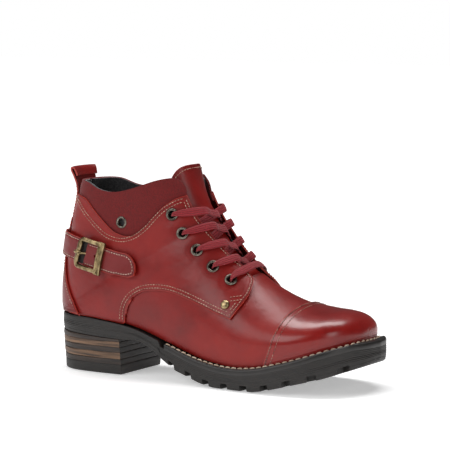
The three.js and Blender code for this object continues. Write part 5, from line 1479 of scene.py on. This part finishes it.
def weltStrip():
    u = perimeter(0, sole["weltEnd"], 1.5)
    u = np.concatenate([u[::-1], u[1:]])
    side = np.concatenate([np.full(len(u) // 2, -1.0), np.full(len(u) - len(u) // 2, 1.0)])
    edge = through(sole["edge"], u)
    low, high, seatLevel = -sole["seatGap"] - sole["welt"] - 0.6, -sole["lip"], -sole["seatGap"]
    groove = high - 0.45
    outline = [(np.minimum(grow, edge - 0.4), rise) for grow, rise in (
        (-2.2, seatLevel), (-0.2, seatLevel), (0.5, high), (0.9, high), (1.2, groove), (2.1, groove), (2.4, high))]
    outline += [(edge - 1.5, high), (edge - 0.5, groove), (edge, high - 1.5), (edge, low + 0.6), (edge - 0.2, low),
                (-2.2 + 0 * edge, low)]
    rings = []
    for grow, rise in outline:
        p, seat, _ = soleLine(u, side, grow)
        rings.append(np.column_stack([p, seat + rise]))
    obj = pieceFrom("welt_strip", *skin(np.stack(rings, 1)), [weltRubber])
    recalculate(obj)
    roundRims(obj, 0.25)
    settle(obj, "welt")
    p, seat, _ = soleLine(u, side, np.full(u.shape, 1.65))
    row = (np.column_stack([p, seat + high - 0.1]), np.tile([0.0, 0.0, 1.0], (len(u), 1)))
    stitches("welt_stitches", [row], weltThread, "welt", slant=0.16)


def heelRing(heightAt, grow):
    u = np.concatenate([heelStations, heelStations[:-1][::-1]])
    side = np.where(np.arange(len(u)) < len(heelStations), -1.0, 1.0)
    p, _, _ = soleLine(u, side, 0 * u)
    z = heightAt(p[:, 0])
    lower = np.clip(1 - z / heel["seat"], 0, 1)
    reach = np.hypot(p[:, 0] - heel["centre"], p[:, 1])
    push = 1.8 - heel["taper"] * lower + grow
    x = p[:, 0] + (p[:, 0] - heel["centre"]) / reach * push - heel["rake"] * lower
    y = p[:, 1] + p[:, 1] / reach * push
    atBreast = np.abs(u - heel["station"]) < 1e-6
    x = np.where(atBreast, heel["breast"] + grow, np.minimum(x, heel["breast"] + grow))
    return np.column_stack([x, y, z])


heelStations = perimeter(heel["station"], heelEnd, 1.2)
liftEdge = ((0, -0.35), (0.07, -0.05), (0.2, 0.0), (0.35, 0.05), (0.5, 0.0), (0.65, 0.05), (0.8, 0.0),
            (0.93, -0.05), (1, -0.35))


def heelLayer(name, low, high, material, node, seed):
    # one lift: its edge is a little uneven and its rims are rounded
    rings = []
    lowOf = low if callable(low) else (lambda x: np.full(np.shape(x), float(low)))
    highOf = high if callable(high) else (lambda x: np.full(np.shape(x), float(high)))
    for k, draw in liftEdge:
        rings.append(heelRing(lambda x, k=k: mixed(lowOf(x), highOf(x), k), draw))
    n = len(rings[0])
    side = np.concatenate(rings)
    wobble = noiseField(side * np.array([0.12, 0.12, 1.6]), 1.2, seed) * 0.16
    centre = side - np.array([heel["centre"], 0, 0])
    centre[:, 2] = 0
    atBreast = np.abs(side[:, 0] - heel["breast"]) < 0.6
    side = side + np.where(atBreast[:, None], 0, unit(centre) * wobble[:, None])
    faces = [gridFaces(len(rings), n, closedColumns=True)]
    half = len(heelStations)
    for start in (0, (len(rings) - 1) * n):
        k = np.arange(0, half - 2)
        faces.append(np.stack([k, k + 1, n - 2 - k, n - 1 - k], -1) + start)
    obj = pieceFrom(name, side, np.concatenate(faces), [material, darkBreastFace])
    recalculate(obj)
    # faces that point forward, the heel's breast, take the near-black second material
    for polygon in obj.data.polygons:
        polygon.material_index = int(polygon.normal.x > 0.7)
    smoothByAngle(obj, 40)
    settle(obj, node)


def heelStack():
    heelLayer("heel_top_piece_rubber", 0, heel["topPiece"], rubber, "heel_top_piece", 11)
    z = heel["topPiece"]
    room = heel["seat"] - heel["topPiece"]
    for k, share in enumerate(heel["shares"]):
        high = z + room * share / heel["sum"]
        tan = k % 2 == 1
        heelLayer("heel_lift_%d_stack" % (k + 1), z + 0.1, high, stackTan if tan else stackDark,
                  "heel_lift_%d" % (k + 1), 20 + k)
        z = high
    heelLayer("heel_wedge_stack", z + 0.1, lambda x: undersideAt(x) - 0.1, stackDark, "heel_wedge", 30)


outsoleRubber()
weltStrip()
heelStack()
print("sole and heel ready")


# zip and the inside
def paint(node, material):
    obj = frame["nodes"][node]
    obj.data.materials.clear()
    obj.data.materials.append(material)
    for polygon in obj.data.polygons:
        polygon.material_index = 0


def zipFrame():
    bottom = np.array([-71, 33.145, 59.5])
    along, out, across = [np.array(v) for v in ((0, -0.0210, 0.99978), (-0.0389, 0.99902, 0.0210),
                                                 (-0.99924, -0.0389, -0.0008))]
    return bottom, along, out, across


def zipTeeth():
    bottom, along, out, across = zipFrame()
    pitch, top = 1.5, 80.6
    for sign, name in ((-1, "front"), (1, "rear")):
        parts, profile = [], np.array([[0.15, 0.9], [-0.35, 0.35], [-0.15, -0.55], [0.35, -0.55], [0.55, 0.35]])
        shift = 0.0 if sign > 0 else pitch / 2
        for n in np.arange(6.4 + shift, top, pitch):
            centre = bottom + along * n
            steps = np.array([0.12, 0.9, 1.7, 2.5])
            size = np.array([0.42, 0.5, 0.36, 0.36])
            centres = [centre + across * sign * s for s in steps]
            parts.append(sweep(centres, [along] * 4, [out] * 4, [roundSection(g, 0.8, 4, 8) for g in size]))
        joined("zip_teeth_" + name + "_brass", parts, gunmetal, "zip_teeth_" + name, smooth=30)


zipTeeth()
painted = {
    "zip_tape_front": tapeCloth, "zip_tape_rear": tapeCloth, "zip_bottom_stop": gunmetal, "zip_slider": gunmetal,
    "zip_pull": gunmetal, "shank": gunmetal, "heel_nail_1": gunmetal, "heel_nail_2": gunmetal,
    "heel_nail_3": gunmetal, "heel_nail_4": gunmetal, "insole_board": boardMaterial, "toe_puff": boardMaterial,
    "heel_counter": boardMaterial, "footbed": foamMaterial, "forefoot_filler": foamMaterial,
    "vamp_lining": fleece,
}
for node, material in painted.items():
    paint(node, material)
print("zip and inside ready")


# camera, light and floor
view = {"azimuth": 30.5, "elevation": 7.3, "distance": 1.8, "height": 0.075, "focal": 2352.6,
        "left": 6.3, "below": 55.0, "sensor": 36, "pictureWidth": 450}


def makeCamera():
    a, e = math.radians(view["azimuth"]), math.radians(view["elevation"])
    back = Vector((math.sin(a) * math.cos(e), -math.cos(a) * math.cos(e), math.sin(e)))
    right = Vector((math.cos(a), math.sin(a), 0))
    up = back.cross(right)
    data = bpy.data.cameras.new("camera")
    data.sensor_width = view["sensor"]
    data.lens = view["sensor"] * view["focal"] / view["pictureWidth"]
    data.clip_start, data.clip_end = 0.01, 100
    camera = bpy.data.objects.new("camera", data)
    bpy.context.scene.collection.objects.link(camera)
    camera.location = Vector((0, 0, view["height"])) + back * view["distance"]
    forward = -back * view["focal"] + right * view["left"] + up * view["below"]
    camera.rotation_mode = "QUATERNION"
    camera.rotation_quaternion = forward.to_track_quat("-Z", "Y")
    bpy.context.scene.camera = camera


def softbox(name, place, aim, width, height, power, colour=(1, 1, 1)):
    data = bpy.data.lights.new(name, "AREA")
    data.shape = "RECTANGLE"
    data.size, data.size_y, data.energy, data.color = width, height, power, colour
    obj = bpy.data.objects.new(name, data)
    bpy.context.scene.collection.objects.link(obj)
    obj.location = place
    obj.rotation_mode = "QUATERNION"
    obj.rotation_quaternion = (Vector(aim) - Vector(place)).to_track_quat("-Z", "Y")


def makeStudio():
    deselect()
    bpy.ops.mesh.primitive_plane_add(size=12, location=(0, 0, -0.0005))
    floor = bpy.context.object
    floor.name = "studio_floor"
    material, tree, shader = newMaterial("paleFloor")
    nodes, links = tree.nodes, tree.links
    vector = objectPlace(tree)
    links.new(rampNode(tree, noiseNode(tree, vector, 4), [(0.3, (0.86, 0.86, 0.86)), (0.7, (0.9, 0.9, 0.9))]),
              shader.inputs["Base Color"])
    shader.inputs["Roughness"].default_value = 0.7
    shader.inputs["Emission Color"].default_value = (1, 1, 1, 1)
    away = nodes.new("ShaderNodeVectorMath")
    away.operation = "LENGTH"
    links.new(vector, away.inputs[0])
    glow = nodes.new("ShaderNodeMapRange")
    glow.interpolation_type = "SMOOTHSTEP"
    glow.inputs["From Min"].default_value, glow.inputs["From Max"].default_value = 0.25, 1.1
    glow.inputs["To Min"].default_value, glow.inputs["To Max"].default_value = studio["floorGlow"]
    links.new(away.outputs["Value"], glow.inputs["Value"])
    links.new(glow.outputs["Result"], shader.inputs["Emission Strength"])
    floor.data.materials.append(material)
    world = bpy.data.worlds.new("studio")
    world.use_nodes = True
    nodes, links = world.node_tree.nodes, world.node_tree.links
    seen = nodes["Background"]
    seen.inputs["Strength"].default_value = 1.0
    seen.inputs["Color"].default_value = (1, 1, 1, 1)
    lit = nodes.new("ShaderNodeBackground")
    lit.inputs["Color"].default_value = (1, 1, 1, 1)
    lit.inputs["Strength"].default_value = studio["world"]
    path, mix = nodes.new("ShaderNodeLightPath"), nodes.new("ShaderNodeMixShader")
    links.new(path.outputs["Is Camera Ray"], mix.inputs["Fac"])
    links.new(lit.outputs["Background"], mix.inputs[1])
    links.new(seen.outputs["Background"], mix.inputs[2])
    links.new(mix.outputs["Shader"], nodes["World Output"].inputs["Surface"])
    bpy.context.scene.world = world
    bpy.context.scene.view_settings.view_transform = "Standard"
    for name, place, aim, width, height, power in studio["lights"]:
        softbox(name, place, aim, width, height, power)


studio = {
    "world": 0.09,
    "floorGlow": (0.4, 1.0),
    "lights": [
        ("key_left", (-0.65, -1.25, 0.95), (0.0, 0, 0.06), 1.2, 0.8, 13),
        ("top", (-0.08, 0.24, 1.3), (0.04, 0, 0.05), 1.2, 0.42, 17),
        ("front", (1.35, -0.85, 0.6), (0.05, 0, 0.06), 0.5, 0.9, 5.5),
    ],
}
makeCamera()
makeStudio()
print("camera and light ready")
